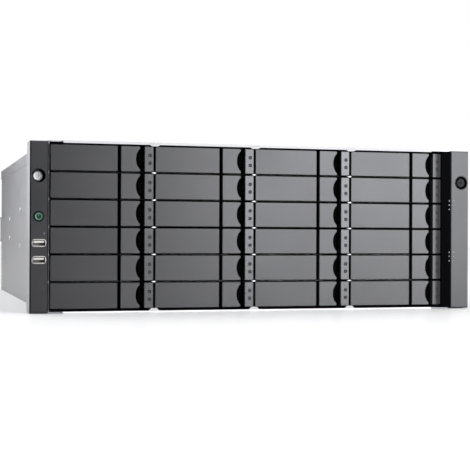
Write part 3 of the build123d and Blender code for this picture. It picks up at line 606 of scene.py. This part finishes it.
def grid_tree():
    kinds = {
        "Template": "NodeSocketObject", "Material": "NodeSocketMaterial", "Start": "NodeSocketVector",
        "Count": "NodeSocketInt", "Step": "NodeSocketVector",
        "Rows": "NodeSocketInt", "Row Step": "NodeSocketVector",
    }
    tree, given = pattern_tree("copies_in_a_grid", kinds)
    line = {"Count": given["Count"], "Start Location": given["Start"], "Offset": given["Step"]}
    across = add_node(tree, "GeometryNodeMeshLine", {"mode": "OFFSET"}, line)
    line = {"Count": given["Rows"], "Offset": given["Row Step"]}
    down = add_node(tree, "GeometryNodeMeshLine", {"mode": "OFFSET"}, line)
    grid = add_node(tree, "GeometryNodeInstanceOnPoints", None, {"Points": across, "Instance": down})
    points = add_node(tree, "GeometryNodeRealizeInstances", None, {0: grid})
    shape = add_node(tree, "GeometryNodeObjectInfo", None, {"Object": given["Template"]}, output="Geometry")
    copies = add_node(tree, "GeometryNodeInstanceOnPoints", None, {"Points": points, "Instance": shape})
    close_tree(tree, copies, given["Material"])
    return tree


def ring_tree():
    kinds = {
        "Template": "NodeSocketObject", "Material": "NodeSocketMaterial",
        "Count": "NodeSocketInt", "Radius": "NodeSocketFloat",
    }
    tree, given = pattern_tree("copies_in_a_ring", kinds)
    circle = add_node(tree, "GeometryNodeMeshCircle", None, {"Vertices": given["Count"], "Radius": given["Radius"]})
    share = add_node(tree, "GeometryNodeInputIndex").sum("DIVIDE", given["Count"])
    turn = add_node(tree, "ShaderNodeCombineXYZ", None, {"Z": share * (2 * math.pi)})
    shape = add_node(tree, "GeometryNodeObjectInfo", None, {"Object": given["Template"]}, output="Geometry")
    inputs = {"Points": circle, "Instance": shape, "Rotation": turn}
    copies = add_node(tree, "GeometryNodeInstanceOnPoints", None, inputs)
    close_tree(tree, copies, given["Material"])
    return tree


trees = {"grid": grid_tree(), "ring": ring_tree()}


def grown(name, kind, template, values):
    """Runs one of the trees with its inputs set, and hands back the plain mesh."""
    source = bpy.data.objects.new(name + "_template", template)
    carrier = bpy.data.objects.new(name, bpy.data.meshes.new(name))
    bpy.context.scene.collection.objects.link(source)
    bpy.context.scene.collection.objects.link(carrier)
    modifier = carrier.modifiers.new("pattern", "NODES")
    modifier.node_group = trees[kind]
    sockets = {item.name: item.identifier for item in trees[kind].interface.items_tree if item.in_out == "INPUT"}
    for label, value in {"Template": source, **values}.items():
        modifier[sockets[label]] = value
    bpy.context.view_layer.update()
    evaluated = carrier.evaluated_get(bpy.context.evaluated_depsgraph_get())
    data = bpy.data.meshes.new_from_object(evaluated)
    for item in (carrier, source):
        bpy.data.objects.remove(item)
    return data


def grid(name, template, material, start, count=1, step=(0, 0, 0), rows=1, row_step=(0, 0, 0)):
    values = {"Material": material, "Start": start, "Count": count, "Step": step, "Rows": rows, "Row Step": row_step}
    return grown(name, "grid", template, values)


def assemble(name, body, pieces):
    """Joins (mesh, place, materials) pieces into one object that rides a body."""
    shape = bmesh.new()
    used = []
    for data, where, materials in pieces:
        part = data.copy()
        part.transform(where)
        first = len(shape.faces)
        shape.from_mesh(part)
        shape.faces.ensure_lookup_table()
        for face in shape.faces[first:]:
            material = materials[min(face.material_index, len(materials) - 1)]
            if material not in used:
                used.append(material)
            face.material_index = used.index(material)
        bpy.data.meshes.remove(part)
    joined = bpy.data.meshes.new(name)
    shape.to_mesh(joined)
    shape.free()
    for material in used:
        joined.materials.append(material)
    piece = bpy.data.objects.new(name, joined)
    bpy.context.scene.collection.objects.link(piece)
    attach(piece, body)
    print("piece:", name, len(joined.polygons), "faces")
    return piece


HERE = Matrix.Identity(4)


def at(x, y, z, turn=HERE):
    return Matrix.Translation((x, y, z)) @ turn


# %% [markdown]
# A cross-head screw is a low dome with a cross-shaped recess. The dome is turned and the recess is cut by a
# Boolean, with two thin wedges crossing in the middle. One head serves the chassis, the covers and the drives.

# %% Screw heads
def cut_cross(data, reach, width, depth, top):
    """Cuts a cross-shaped recess into the top of a head."""
    tool_shape = bmesh.new()
    for size in ((reach, width), (width, reach)):
        where = Matrix.Translation((0, 0, top - depth / 2 + 0.00005))
        stretch = Matrix.Diagonal((size[0] * 2, size[1] * 2, depth + 0.0001, 1))
        bmesh.ops.create_cube(tool_shape, size=1, matrix=where @ stretch)
    head = bpy.data.objects.new("head", data)
    tool = bpy.data.objects.new("cross", closed_mesh("cross", tool_shape))
    for item in (head, tool):
        bpy.context.scene.collection.objects.link(item)
    carve = head.modifiers.new("carve", "BOOLEAN")
    carve.object = tool
    carve.operation = "DIFFERENCE"
    carve.solver = "EXACT"
    carve.use_self = True
    bpy.context.view_layer.update()
    cut = bpy.data.meshes.new_from_object(head.evaluated_get(bpy.context.evaluated_depsgraph_get()))
    for item in (head, tool):
        bpy.data.objects.remove(item)
    return cut


def screw_head(name, radius, height, segments=24):
    """A low dome that stands on height 0, with a skirt a little below it."""
    profile = [(0, -0.0002), (radius, -0.0002), (radius, height * 0.25)]
    for step in range(1, 5):
        angle = step / 5 * math.pi / 2
        profile.append((radius * math.cos(angle * 0.8), height * (0.25 + 0.75 * math.sin(angle))))
    profile.append((0, height))
    dome = turned(name, profile, segments)
    return cut_cross(dome, radius * 0.58, radius * 0.11, height * 0.6, height)


chassis_head = screw_head("chassis_head", 0.0027, 0.001)
small_head = screw_head("small_head", 0.0019, 0.0004, 16)
flat_head = screw_head("flat_head", 0.0030, 0.0006, 20)

half_chassis = 0.2235
rail_face = half_chassis + 0.001
side_pairs = ((rail_face, 0.137, 0.089, 0.0124), (half_chassis, -0.001, 0.089, 0.0222), (rail_face, -0.242, 0.0875, 0.0575))


def side_screws(side, turn):
    pieces = []
    head = chassis_head.copy()
    head.transform(turn)
    for x, y, z, spread in side_pairs:
        start = (side * x, y, z - spread)
        data = grid("side_screws", head, bright_steel, start, 2, (0, 0, 2 * spread))
        pieces.append((data, HERE, [bright_steel]))
    return pieces


screws = assemble("side_screw_heads", "chassis", side_screws(-1, LEFTWARDS) + side_screws(1, RIGHTWARDS))
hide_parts("screws")

# %% [markdown]
# The light bar beside the last column is glossy black with short arms over and under the strips, and two black
# trims close the corners at the left. They are mouldings with softened edges, a millimetre lower than the lips.

# %% Light bar and corner trims
def front_trims():
    low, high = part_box("front_trim")
    near, bottom, top = front + 0.0003, 0.0012, 0.1733
    limits = [
        ((0.2087, near, bottom), (high.x, front + 0.008, top), bar_black),
        ((0.1970, near, bottom), (0.2091, front + 0.006, 0.0032), bar_black),
        ((0.1970, near, 0.1718), (0.2091, front + 0.006, top), bar_black),
        ((low.x + 0.0015, near, bottom + 0.0011), (-0.2080, front + 0.006, 0.0038), bar_black),
        ((low.x + 0.0015, near, 0.1709), (-0.2080, front + 0.006, top - 0.0010), bar_black),
    ]
    pieces = [(slab("trim", near_corner, far_corner, 0.0003), HERE, [tone]) for near_corner, far_corner, tone in limits]
    piece = assemble("front_trims", "chassis", pieces)
    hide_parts("front_trim")


front_trims()

# %% [markdown]
# Each rack ear is held by a captive thumb screw that sits in a round well of the bezel. It is a turned knob with
# a knurled rim for the fingers and a crossed slot for a driver; behind it a shank passes through the flange and
# ends in a thread. The knurl is a ring of small ribs, and the thread is a stack of ridges in the turned profile.

# %% Thumb screws
def thumb_knob(radius, length, extra):
    """The turned knob and shank, with height 0 at the knob's front face and the rest behind it."""
    tip = -0.0290 - extra
    profile = [(0, tip), (0.0019, tip), (0.0025, tip + 0.0006)]
    for turn in range(13):
        profile += [(0.0021, tip + 0.0010 + turn * 0.0008), (0.0025, tip + 0.0014 + turn * 0.0008)]
    profile += [(0.0029, tip + 0.0120), (0.0029, -length), (radius - 0.0005, -length), (radius, 0.0004 - length)]
    profile += [(radius, -0.0012), (radius - 0.0004, -0.0004), (radius - 0.0010, 0.0)]
    profile += [(radius - 0.0015, 0.0), (radius - 0.0018, -0.0003), (0.0022, -0.0003), (0.0020, 0.0), (0, 0.0)]
    return cut_cross(turned("knob", profile, 48), 0.0013, 0.00025, 0.0010, 0.0)


def knurl(radius, length, count, material):
    """A ring of ribs along the knob's rim."""
    rib = slab("rib", (-0.0002, -0.00022, 0.0006 - length), (0.0002, 0.00022, -0.0014), 0.00012)
    return grown("knurl", "ring", rib, {"Material": material, "Count": count, "Radius": radius - 0.00005})


def well_rim(name, x, z, inner, rim_finish):
    """A thin rolled rim round a hole in the bezel, on its face."""
    section = [(0, -0.0008), (0.0006, -0.0008), (0.0007, 0.00005), (0.0004, 0.00012), (0, -0.0001)]
    line = [(inner + across, height) for across, height in section]
    ring = ring_of(line, 48)
    assemble(name, "chassis", [(ring, at(x, front, z, FORWARDS), [rim_finish])])


def thumb_screw(node, knob_finish, unscrewed, rim_finish):
    """The screw of one ear; unscrewed is how far its knob stands out of its rest, in metres."""
    low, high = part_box(node)
    x, z = (low.x + high.x) / 2, (low.z + high.z) / 2
    well_rim(node + "_well_rim", x, z, 0.0070, rim_finish)
    radius, length = 0.0052, 0.0115 + unscrewed
    where = at(x, low.y - unscrewed, z, FORWARDS)
    knob = thumb_knob(radius - 0.0002, length, unscrewed)
    ribs = knurl(radius - 0.0002, length, 40, knob_finish)
    piece = assemble(node + "_knob", node, [(knob, where, [knob_finish]), (ribs, where, [knob_finish])])
    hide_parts(node)


# The two knobs are the same chrome: the left one is painted pale matte as its bright reflection, and the right one is
# painted dark, with a black rim, as the shade in its well.
thumb_screw("thumb_screw_left", pale_painted_reflection, 0.0045, bezel_grey)
thumb_screw("thumb_screw_right", knob_in_painted_shade, 0.0135, black_and_painted_shade)

# %% [markdown]
# The power button is a dished key with a thin green light ring moulded round its middle. Turning one profile
# gives all of it: the key's rim, the ring and the dish are stretches of the same line in different materials.

# %% Power button
def power_button():
    low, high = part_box("power_button")
    back = low.y - high.y
    profile = [
        (0, back, 0), (0.0042, back, 0), (0.0046, back + 0.0004, 0), (0.0046, -0.0005, 0), (0.0043, -0.0001, 0),
        (0.0041, 0.0, 0), (0.0034, -0.0001, 0), (0.0027, -0.0001, 1), (0.0026, -0.0002, 0), (0.0022, -0.0004, 2),
        (0.0010, -0.0006, 2), (0, -0.00065, 2),
    ]
    key = turned("power_key", profile, 56)
    x, z = (low.x + high.x) / 2, (low.z + high.z) / 2
    well_rim("power_key_rim", x, z, 0.0049, black_and_painted_shade)
    where = at(x, low.y, z, FORWARDS)
    bar = slab("bar", (-0.0003, 0.0006, -0.0006), (0.0003, 0.0026, -0.0002), 0.0001)
    finishes = [deep_green, green_lamp, deep_green]
    piece = assemble("power_key", "power_button", [(key, where, finishes), (bar, where, [green_lamp])])
    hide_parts("power_button")


def lamp_signs():
    """A small printed sign beside each white light: a bar, a dot and a diamond, twice."""
    bar = slab("bar", (-0.0010, -0.0004, 0), (0.0010, 0.0004, 0.00004), 0.00001)
    dot = turned("dot", [(0, 0), (0.0007, 0), (0.0007, 0.00004), (0, 0.00004)], 16)
    diamond = turned("diamond", [(0, 0), (0.0009, 0), (0.0009, 0.00004), (0, 0.00004)], 4)
    pieces = []
    for top in (0.1190, 0.0620):
        for sign, drop in ((bar, 0.0), (dot, 0.0047), (diamond, 0.0094)):
            pieces.append((sign, at(0.2236, front, top - drop, FORWARDS), [sign_grey]))
    assemble("lamp_signs", "chassis", pieces)


deep_green = satin("deep_green", (0.004, 0.020, 0.012), (0.008, 0.034, 0.020), 0.6, 0.15)
sign_grey = satin("sign_grey", (0.090, 0.090, 0.092), (0.120, 0.120, 0.122), 0.31, 0.52)
power_button()
lamp_signs()

# %% [markdown]
# A USB socket is a drawn metal shell round a plastic tongue with flat contacts on it. Here the shell ends in a
# bright rim with round ends. The rim, the shell and its inside are one skin over a stack of outlines, so the
# wall has a real thickness and a rolled front edge.

# %% USB sockets
def port_shell(rim, port, depth, rim_depth, rim_corner, roll=0.0004):
    """A shell with a rim in front, height 0 at the front face."""
    width, height = port
    can = rounded(width + 0.0006, height + 0.0006, 0.0008)
    inside = rounded(width, height, 0.0005)
    outer = rounded(*rim, rim_corner)
    soft = rounded(rim[0] - 2 * roll, rim[1] - 2 * roll, rim_corner - roll)
    nearly = rounded(rim[0] - 0.6 * roll, rim[1] - 0.6 * roll, rim_corner - 0.3 * roll)
    mouth = rounded(width + 0.0004, height + 0.0004, 0.0006)
    layers = [
        (can, -depth, 0), (can, -rim_depth, 0), (outer, -rim_depth, 0), (outer, -roll, 0), (nearly, -0.3 * roll, 0),
        (soft, 0, 0), (mouth, 0, 0), (inside, -0.0003, 0), (inside, 0.002 - depth, 1),
    ]
    shell = skinned("port_shell", layers)
    return shell


def usb_port(where, rim, rim_corner, depth=0.014, tongue_z=0.0012):
    """The pieces of one port; where carries height 0 to the rim's front, facing out."""
    width, height = 0.0122, 0.0051
    shell = port_shell(rim, (width, height), depth, 0.0036, rim_corner)
    tongue = slab("tongue", (-0.0054, tongue_z - 0.00095, -depth + 0.002), (0.0054, tongue_z + 0.00095, -0.0016), 0.0002)
    short = slab("contact", (-0.0005, -0.0001, -0.0035), (0.0005, 0.0001, 0.0035), 0.00005)
    contacts = grid("contacts", short, gold_contact, (-0.0035, tongue_z - 0.00098, -0.0064), 4, (0.00233, 0, 0))
    finer = slab("finer", (-0.0003, -0.0001, -0.0006), (0.0003, 0.0001, 0.0006), 0.00005)
    fine = grid("fine_contacts", finer, gold_contact, (-0.0040, tongue_z - 0.00098, -0.0023), 5, (0.0020, 0, 0))
    return [
        # The shell's inside takes the darker steel, painted shade for its depth.
        (shell, where, [rim_steel, port_steel_in_painted_shade]),
        (tongue, where, [port_white]),
        (contacts, where, [gold_contact]),
        (fine, where, [gold_contact]),
    ]


def front_usb():
    low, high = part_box("usb_sockets")
    x = (low.x + high.x) / 2
    pieces = []
    for z in (high.z - 0.0041, low.z + 0.0041):
        pieces += usb_port(at(x, low.y, z, FORWARDS), (0.0146, 0.0082), 0.0032)
    piece = assemble("usb_ports", "chassis", pieces)
    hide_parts("usb_sockets")


front_usb()

# %% [markdown]
# Every carrier has two light pipes in its strip: clear lenses in a dark ring, unlit in the photograph. The drive
# behind it has a lid with rounded corners and a spindle boss, and is held by two screws in each side rail.
# The pieces are alike on all 24 carriers, so one function makes a carrier's set and places it by its corner.

# %% Carrier details
lens_profile = [
    (0, -0.0006, 0), (0.0019, -0.0006, 0), (0.0019, 0.00005, 0), (0.0017, 0.0001, 0), (0.0011, 0.0001, 0),
    (0.0010, 0.0, 0), (0.0006, 0.00008, 1), (0, 0.0001, 1),
]
lens = turned("light_pipe", lens_profile, 24)


def drive_lid_plate(width, length):
    """Raised plate with a spindle boss, lying on the drive."""
    outline = rounded(width, length, 0.004, 3)
    inner = rounded(width - 0.0008, length - 0.0008, 0.0036, 3)
    plate = skinned("lid", [(outline, -0.0002, 0), (outline, 0.0002, 0), (inner, 0.0004, 0)])
    boss = [(0, 0.0003), (0.0150, 0.0003), (0.0142, 0.0007), (0.0105, 0.0007), (0.0100, 0.0004), (0, 0.0004)]
    return plate, turned("boss", boss, 32)


lid, spindle_boss = drive_lid_plate(0.080, 0.110)


def carrier_details(node):
    low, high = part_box(node)
    strip_x = high.x - 0.0040
    pieces = []
    # In the last column the lens middles take the strip's painted shade.
    tone = strip_painted_shade if "_c4_" in node else strip_mark
    for share in (0.35, 0.66):
        place_here = at(strip_x, front, high.z - share * (high.z - low.z), FORWARDS)
        pieces.append((lens, place_here, [ring_grey, tone]))
    drive_top = low.z + drive_rise
    middle_x = (low.x + high.x) / 2
    pieces.append((lid, at(middle_x, front + 0.094, drive_top), [drive_lid]))
    pieces.append((spindle_boss, at(middle_x, front + 0.118, drive_top), [drive_lid]))
    for side, turn, x in ((-1, LEFTWARDS, low.x + 0.00085), (1, RIGHTWARDS, high.x - 0.00085)):
        head = small_head.copy()
        head.transform(turn)
        row = grid("rail_screws", head, bright_steel, (x, front + 0.047, low.z + 0.0105), 2, (0, 0.060, 0))
        pieces.append((row, HERE, [bright_steel]))
    return assemble(node + "_details", node, pieces)


def find_drive_rise(node):
    """Height of the drive's lid above the carrier's underside, read from its faces."""
    low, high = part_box(node)
    middle_x = (low.x + high.x) / 2
    tops = [
        face.center.z - low.z for face in nodes[node].data.polygons
        if face.normal.z > 0.9 and face.center.y > front + 0.03 and abs(face.center.x - middle_x) < 0.04
    ]
    return max(tops)


strip_mark = satin("strip_mark", (0.014, 0.014, 0.015), (0.024, 0.024, 0.026), 0.35, 0.32)
drive_rise = find_drive_rise("carrier_c1_r1")
print("drive lid above the carrier's underside, in mm:", round(drive_rise * 1000, 2))
for name in carriers:
    carrier_details(name)

# %% [markdown]
# The mainboard's sockets stand in a row at the back. A network jack is a shielded box with eight sprung wires and
# two lamps. Beside the jacks are a stack of two USB ports, a display socket with holes and a serial one with
# pins. The last two share a shell in the shape of a D, held by two hexagonal posts.

# %% Rear sockets
def hex_post():
    outline = [(0.0024 * math.cos(k * math.pi / 3), 0.0024 * math.sin(k * math.pi / 3)) for k in range(6)]
    inner = [(0.5 * x, 0.5 * y) for x, y in outline]
    layers = [(outline, -0.001, 0), (outline, 0.0032, 0), (inner, 0.0032, 0), (inner, 0.0010, 1)]
    return skinned("hex_post", layers)


def d_outline(width, height, radius=0.0015, slope=0.0012):
    """Rounded outline that is narrower at its lower side, as a D-shaped shell is."""
    return [(x - slope * (0.5 - y / height) * (1 if x > 0 else -1), y) for x, y in rounded(width, height, radius, 4)]


def d_socket(where, width, height, pin_rows, material, hollow):
    """A D-shaped shell on its flange, with its face, contacts and posts."""
    flange = slab("flange", (-width / 2, -height / 2, -0.020), (width / 2, height / 2, -0.0002), 0.0003)
    outer = d_outline(width - 0.0135, height - 0.0028)
    lip = d_outline(width - 0.0143, height - 0.0036)
    layers = [(outer, -0.0005, 0), (outer, 0.0048, 0), (lip, 0.0050, 0), (lip, 0.0012, 0)]
    shell = skinned("d_shell", layers)
    face_height = 0.0046 if hollow else 0.0015
    face = skinned("d_face", [(lip, 0.0008, 0), (lip, face_height, 0)])
    pieces = [(flange, where, [nickel]), (shell, where, [bright_steel]), (face, where, [material])]
    pin = turned("pin", [(0, 0), (0.0005, 0), (0.0005, 0.0022), (0.0003, 0.0026), (0, 0.0026)], 8)
    hole = turned("hole", [(0, -0.0004), (0.00055, -0.0004), (0.00055, 0.00004), (0, 0.00004)], 8)
    for index, (count, shift) in enumerate(pin_rows):
        pitch = 0.0023 if hollow else 0.00277
        start_y = (len(pin_rows) - 1) * 0.00105 - index * 0.0021
        start = (-(count - 1) * pitch / 2 + shift, start_y, face_height)
        # The holes are flat black discs: painted shade for their depth.
        template, tone = (hole, black_and_painted_shade) if hollow else (pin, gold_contact)
        pieces.append((grid("pins", template, tone, start, count, (pitch, 0, 0)), where, [tone]))
    posts = grid("posts", hex_post(), nickel, (-width / 2 + 0.0033, 0, 0), 2, (width - 0.0066, 0, 0))
    pieces.append((posts, where, [nickel]))
    return pieces


def network_jack(where):
    """A shielded jack; where carries the middle of its outer face, height 0, facing out."""
    width, height = 0.0160, 0.0135
    outer = rounded(width, height, 0.0005, 2)
    soft = rounded(width - 0.0004, height - 0.0004, 0.0004, 2)
    mouth = [(x, y - 0.00025) for x, y in rounded(0.0118, 0.0080, 0.0004, 2)]
    layers = [(outer, -0.0210, 0), (outer, -0.0003, 0), (soft, 0, 0), (mouth, 0, 0), (mouth, -0.0119, 1)]
    shell = skinned("jack", layers)
    wire = slab("wire", (-0.0002, -0.0002, -0.0035), (0.0002, 0.0002, 0.0035), 0.00008)
    wires = grid("wires", wire, gold_contact, (-0.00357, 0.0030, -0.0060), 8, (0.00102, 0, 0))
    lamp_box = slab("jack_lamp", (-0.0014, -0.0009, -0.001), (0.0014, 0.0009, 0.0002), 0.0002)
    pieces = [(shell, where, [nickel, black_and_painted_shade]), (wires, where, [gold_contact])]
    for x, tone in ((-0.0045, green_lamp), (0.0045, amber_lamp)):
        pieces.append((lamp_box, where @ at(x, -0.0055, 0), [tone]))
    return pieces


def rear_socket_row():
    rear, board_top = 0.295, 0.0088
    left = io_left
    facing = Matrix.Rotation(math.pi, 4, "Z") @ FORWARDS
    pieces = []
    for x in (left + 0.016375, left + 0.04075):
        pieces += network_jack(at(x, rear, board_top + 0.00675, facing))
    stack_x = left + 0.064375
    block_back = slab("stack", (-0.00725, -0.0080, -0.0210), (0.00725, 0.0080, -0.0038), 0.0003)
    pieces.append((block_back, at(stack_x, rear, board_top + 0.008, facing), [nickel]))
    for z in (0.0041, 0.0119):
        pieces += usb_port(at(stack_x, rear, board_top + z, facing), (0.0145, 0.0078), 0.0006, 0.014, 0.0010)
    rows = [(5, 0.0), (5, 0.0), (5, 0.0)]
    pieces += d_socket(at(left + 0.0955, rear, board_top + 0.00625, facing), 0.031, 0.0125, rows, display_blue, True)
    rows = [(5, 0.0), (4, 0.0)]
    pieces += d_socket(at(left + 0.134875, rear, board_top + 0.00625, facing), 0.031, 0.0125, rows, satin_black, False)
    piece = assemble("rear_socket_row", "chassis", pieces)
    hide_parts("rear_sockets")


io_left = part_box("rear_sockets")[0].x - 0.008375
display_blue = satin("display_blue", (0.010, 0.035, 0.160), (0.016, 0.050, 0.210), 0.4)
rear_socket_row()

# %% [markdown]
# Small screws hold the cover, the rear panel and its slot covers. They are the same cross-head as on the drives,
# in rows laid out by the grid tree. Each power supply's latch side and air slits are part of the frame already.

# %% Cover and rear screws
def cover_screws():
    top = 0.175
    pieces = []
    for x in (-0.205, 0.205):
        row = grid("cover_screws", flat_head, bright_steel, (x, -0.20, top), 4, (0, 0.155, 0))
        pieces.append((row, HERE, [bright_steel]))
    return pieces


def rear_screws():
    rear = 0.295
    head = small_head.copy()
    head.transform(BACKWARDS)
    low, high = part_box("rear_panel")
    upper = grid("upper_screws", head, bright_steel, (low.x + 0.008, rear, high.z - 0.006), 8, (0.0615, 0, 0))
    pieces = [(upper, HERE, [bright_steel])]
    slots = grid("slot_screws", head, bright_steel, (slot_first, rear, slot_screw_z), slot_count, (0.02032, 0, 0))
    pieces.append((slots, HERE, [bright_steel]))
    return pieces


slot_first, slot_count, slot_screw_z = -0.20084, 7, 0.1262
assemble("cover_screw_heads", "chassis", cover_screws())
assemble("rear_screw_heads", "chassis", rear_screws())

# %% [markdown]
# The studio is a plain pale floor that runs on without an edge, a white surround and two soft boxes. A satin
# surface shows what it reflects, so the surround is dimmer at the front left, where the left columns look, and a
# large soft box stands at the front right: that makes the front's gradient, from dark at the left to grey at the
# right. The camera itself sees plain white behind the object.

# %% Floor, surround and lamps
def floor_recipe(tree):
    grain = noise(tree, 40.0, 4.0)
    return {"Base Color": grain.tint((0.88, 0.88, 0.88), (0.92, 0.92, 0.92)), "Roughness": grain * 0.1 + 0.25}


def make_floor():
    sheet = bmesh.new()
    bmesh.ops.create_grid(sheet, x_segments=1, y_segments=1, size=14.0)
    data = bpy.data.meshes.new("floor")
    sheet.to_mesh(data)
    sheet.free()
    data.transform(Matrix.Translation((0, 0, -0.0002)))
    floor = bpy.data.objects.new("floor", data)
    bpy.context.scene.collection.objects.link(floor)
    data.materials.append(finish("floor_white", {"Specular IOR Level": 0.12}, floor_recipe))


COOL_WHITE = (0.945, 0.952, 1.0)


def soft_box(name, middle, aim, size, power):
    light = bpy.data.lights.new(name, "AREA")
    light.shape = "RECTANGLE"
    light.size, light.size_y = size
    light.energy = power
    light.color = COOL_WHITE
    lamp_object = bpy.data.objects.new(name, light)
    lamp_object.location = middle
    direction = Vector(aim) - Vector(middle)
    lamp_object.rotation_euler = direction.to_track_quat("-Z", "Y").to_euler()
    bpy.context.scene.collection.objects.link(lamp_object)


def facing(direction, towards):
    """How far a direction points towards another one: 1 when they are the same."""
    inputs = {0: direction, 1: towards}
    return direction.node("ShaderNodeVectorMath", {"operation": "DOT_PRODUCT"}, inputs, output=1)


def surround():
    world = bpy.data.worlds.new("surround")
    world.use_nodes = True
    tree = world.node_tree
    direction = add_node(tree, "ShaderNodeTexCoord", output=3)
    overhead = facing(direction, (0, 0, 1)).between(0.15, 0.75)
    front_left = facing(direction, (-0.423, -0.906, 0)).between(0.55, 0.85)
    behind = facing(direction, (-0.1, 0.99, 0)).between(0.55, 0.97)
    seen = add_node(tree, "ShaderNodeLightPath")
    light = overhead * 0.85 - front_left * 0.78 - behind * 0.68 + 0.8
    strength = seen * 1.0 + (1.0 - seen) * light
    background = tree.nodes["Background"]
    background.inputs["Color"].default_value = (1, 1, 1, 1)
    tree.links.new(strength.socket, background.inputs["Strength"])
    bpy.context.scene.world = world


make_floor()
surround()
soft_box("right_front", (1.5, -3.1, 0.82), (0.1, -0.3, 0.09), (1.84, 1.75), 90)
soft_box("left_side", (-0.58, 0.20, 0.26), (-0.2235, -0.2, 0.09), (0.5, 0.4), 1.2)
bpy.context.scene.view_settings.view_transform = "Standard"

# %% [markdown]
# The camera stands where the photographer stood: left of the middle, level with the front's middle, turned
# fifteen degrees. Its place, turn and lens come from fitting the edges of the front to the real 482.6 mm width.

# %% Camera
FRAME_PIXELS = 470
SENSOR = 0.036
CAMERA_PLACE = (-0.36182, -1.48880, 0.07502)
CAMERA_TURN = 15.626
CAMERA_TILT = 0.227
CAMERA_ROLL = 0.211
FOCAL_PIXELS = 1180.3


def make_camera():
    data = bpy.data.cameras.new("camera")
    data.sensor_width = SENSOR * 1000
    data.lens = FOCAL_PIXELS / FRAME_PIXELS * SENSOR * 1000
    camera = bpy.data.objects.new("camera", data)
    turn = Matrix.Rotation(math.radians(-CAMERA_TURN), 4, "Z")
    tilt = Matrix.Rotation(math.radians(90 + CAMERA_TILT), 4, "X")
    roll = Matrix.Rotation(math.radians(CAMERA_ROLL), 4, "Z")
    camera.matrix_world = Matrix.Translation(CAMERA_PLACE) @ turn @ tilt @ roll
    bpy.context.scene.collection.objects.link(camera)
    bpy.context.scene.camera = camera


make_camera()
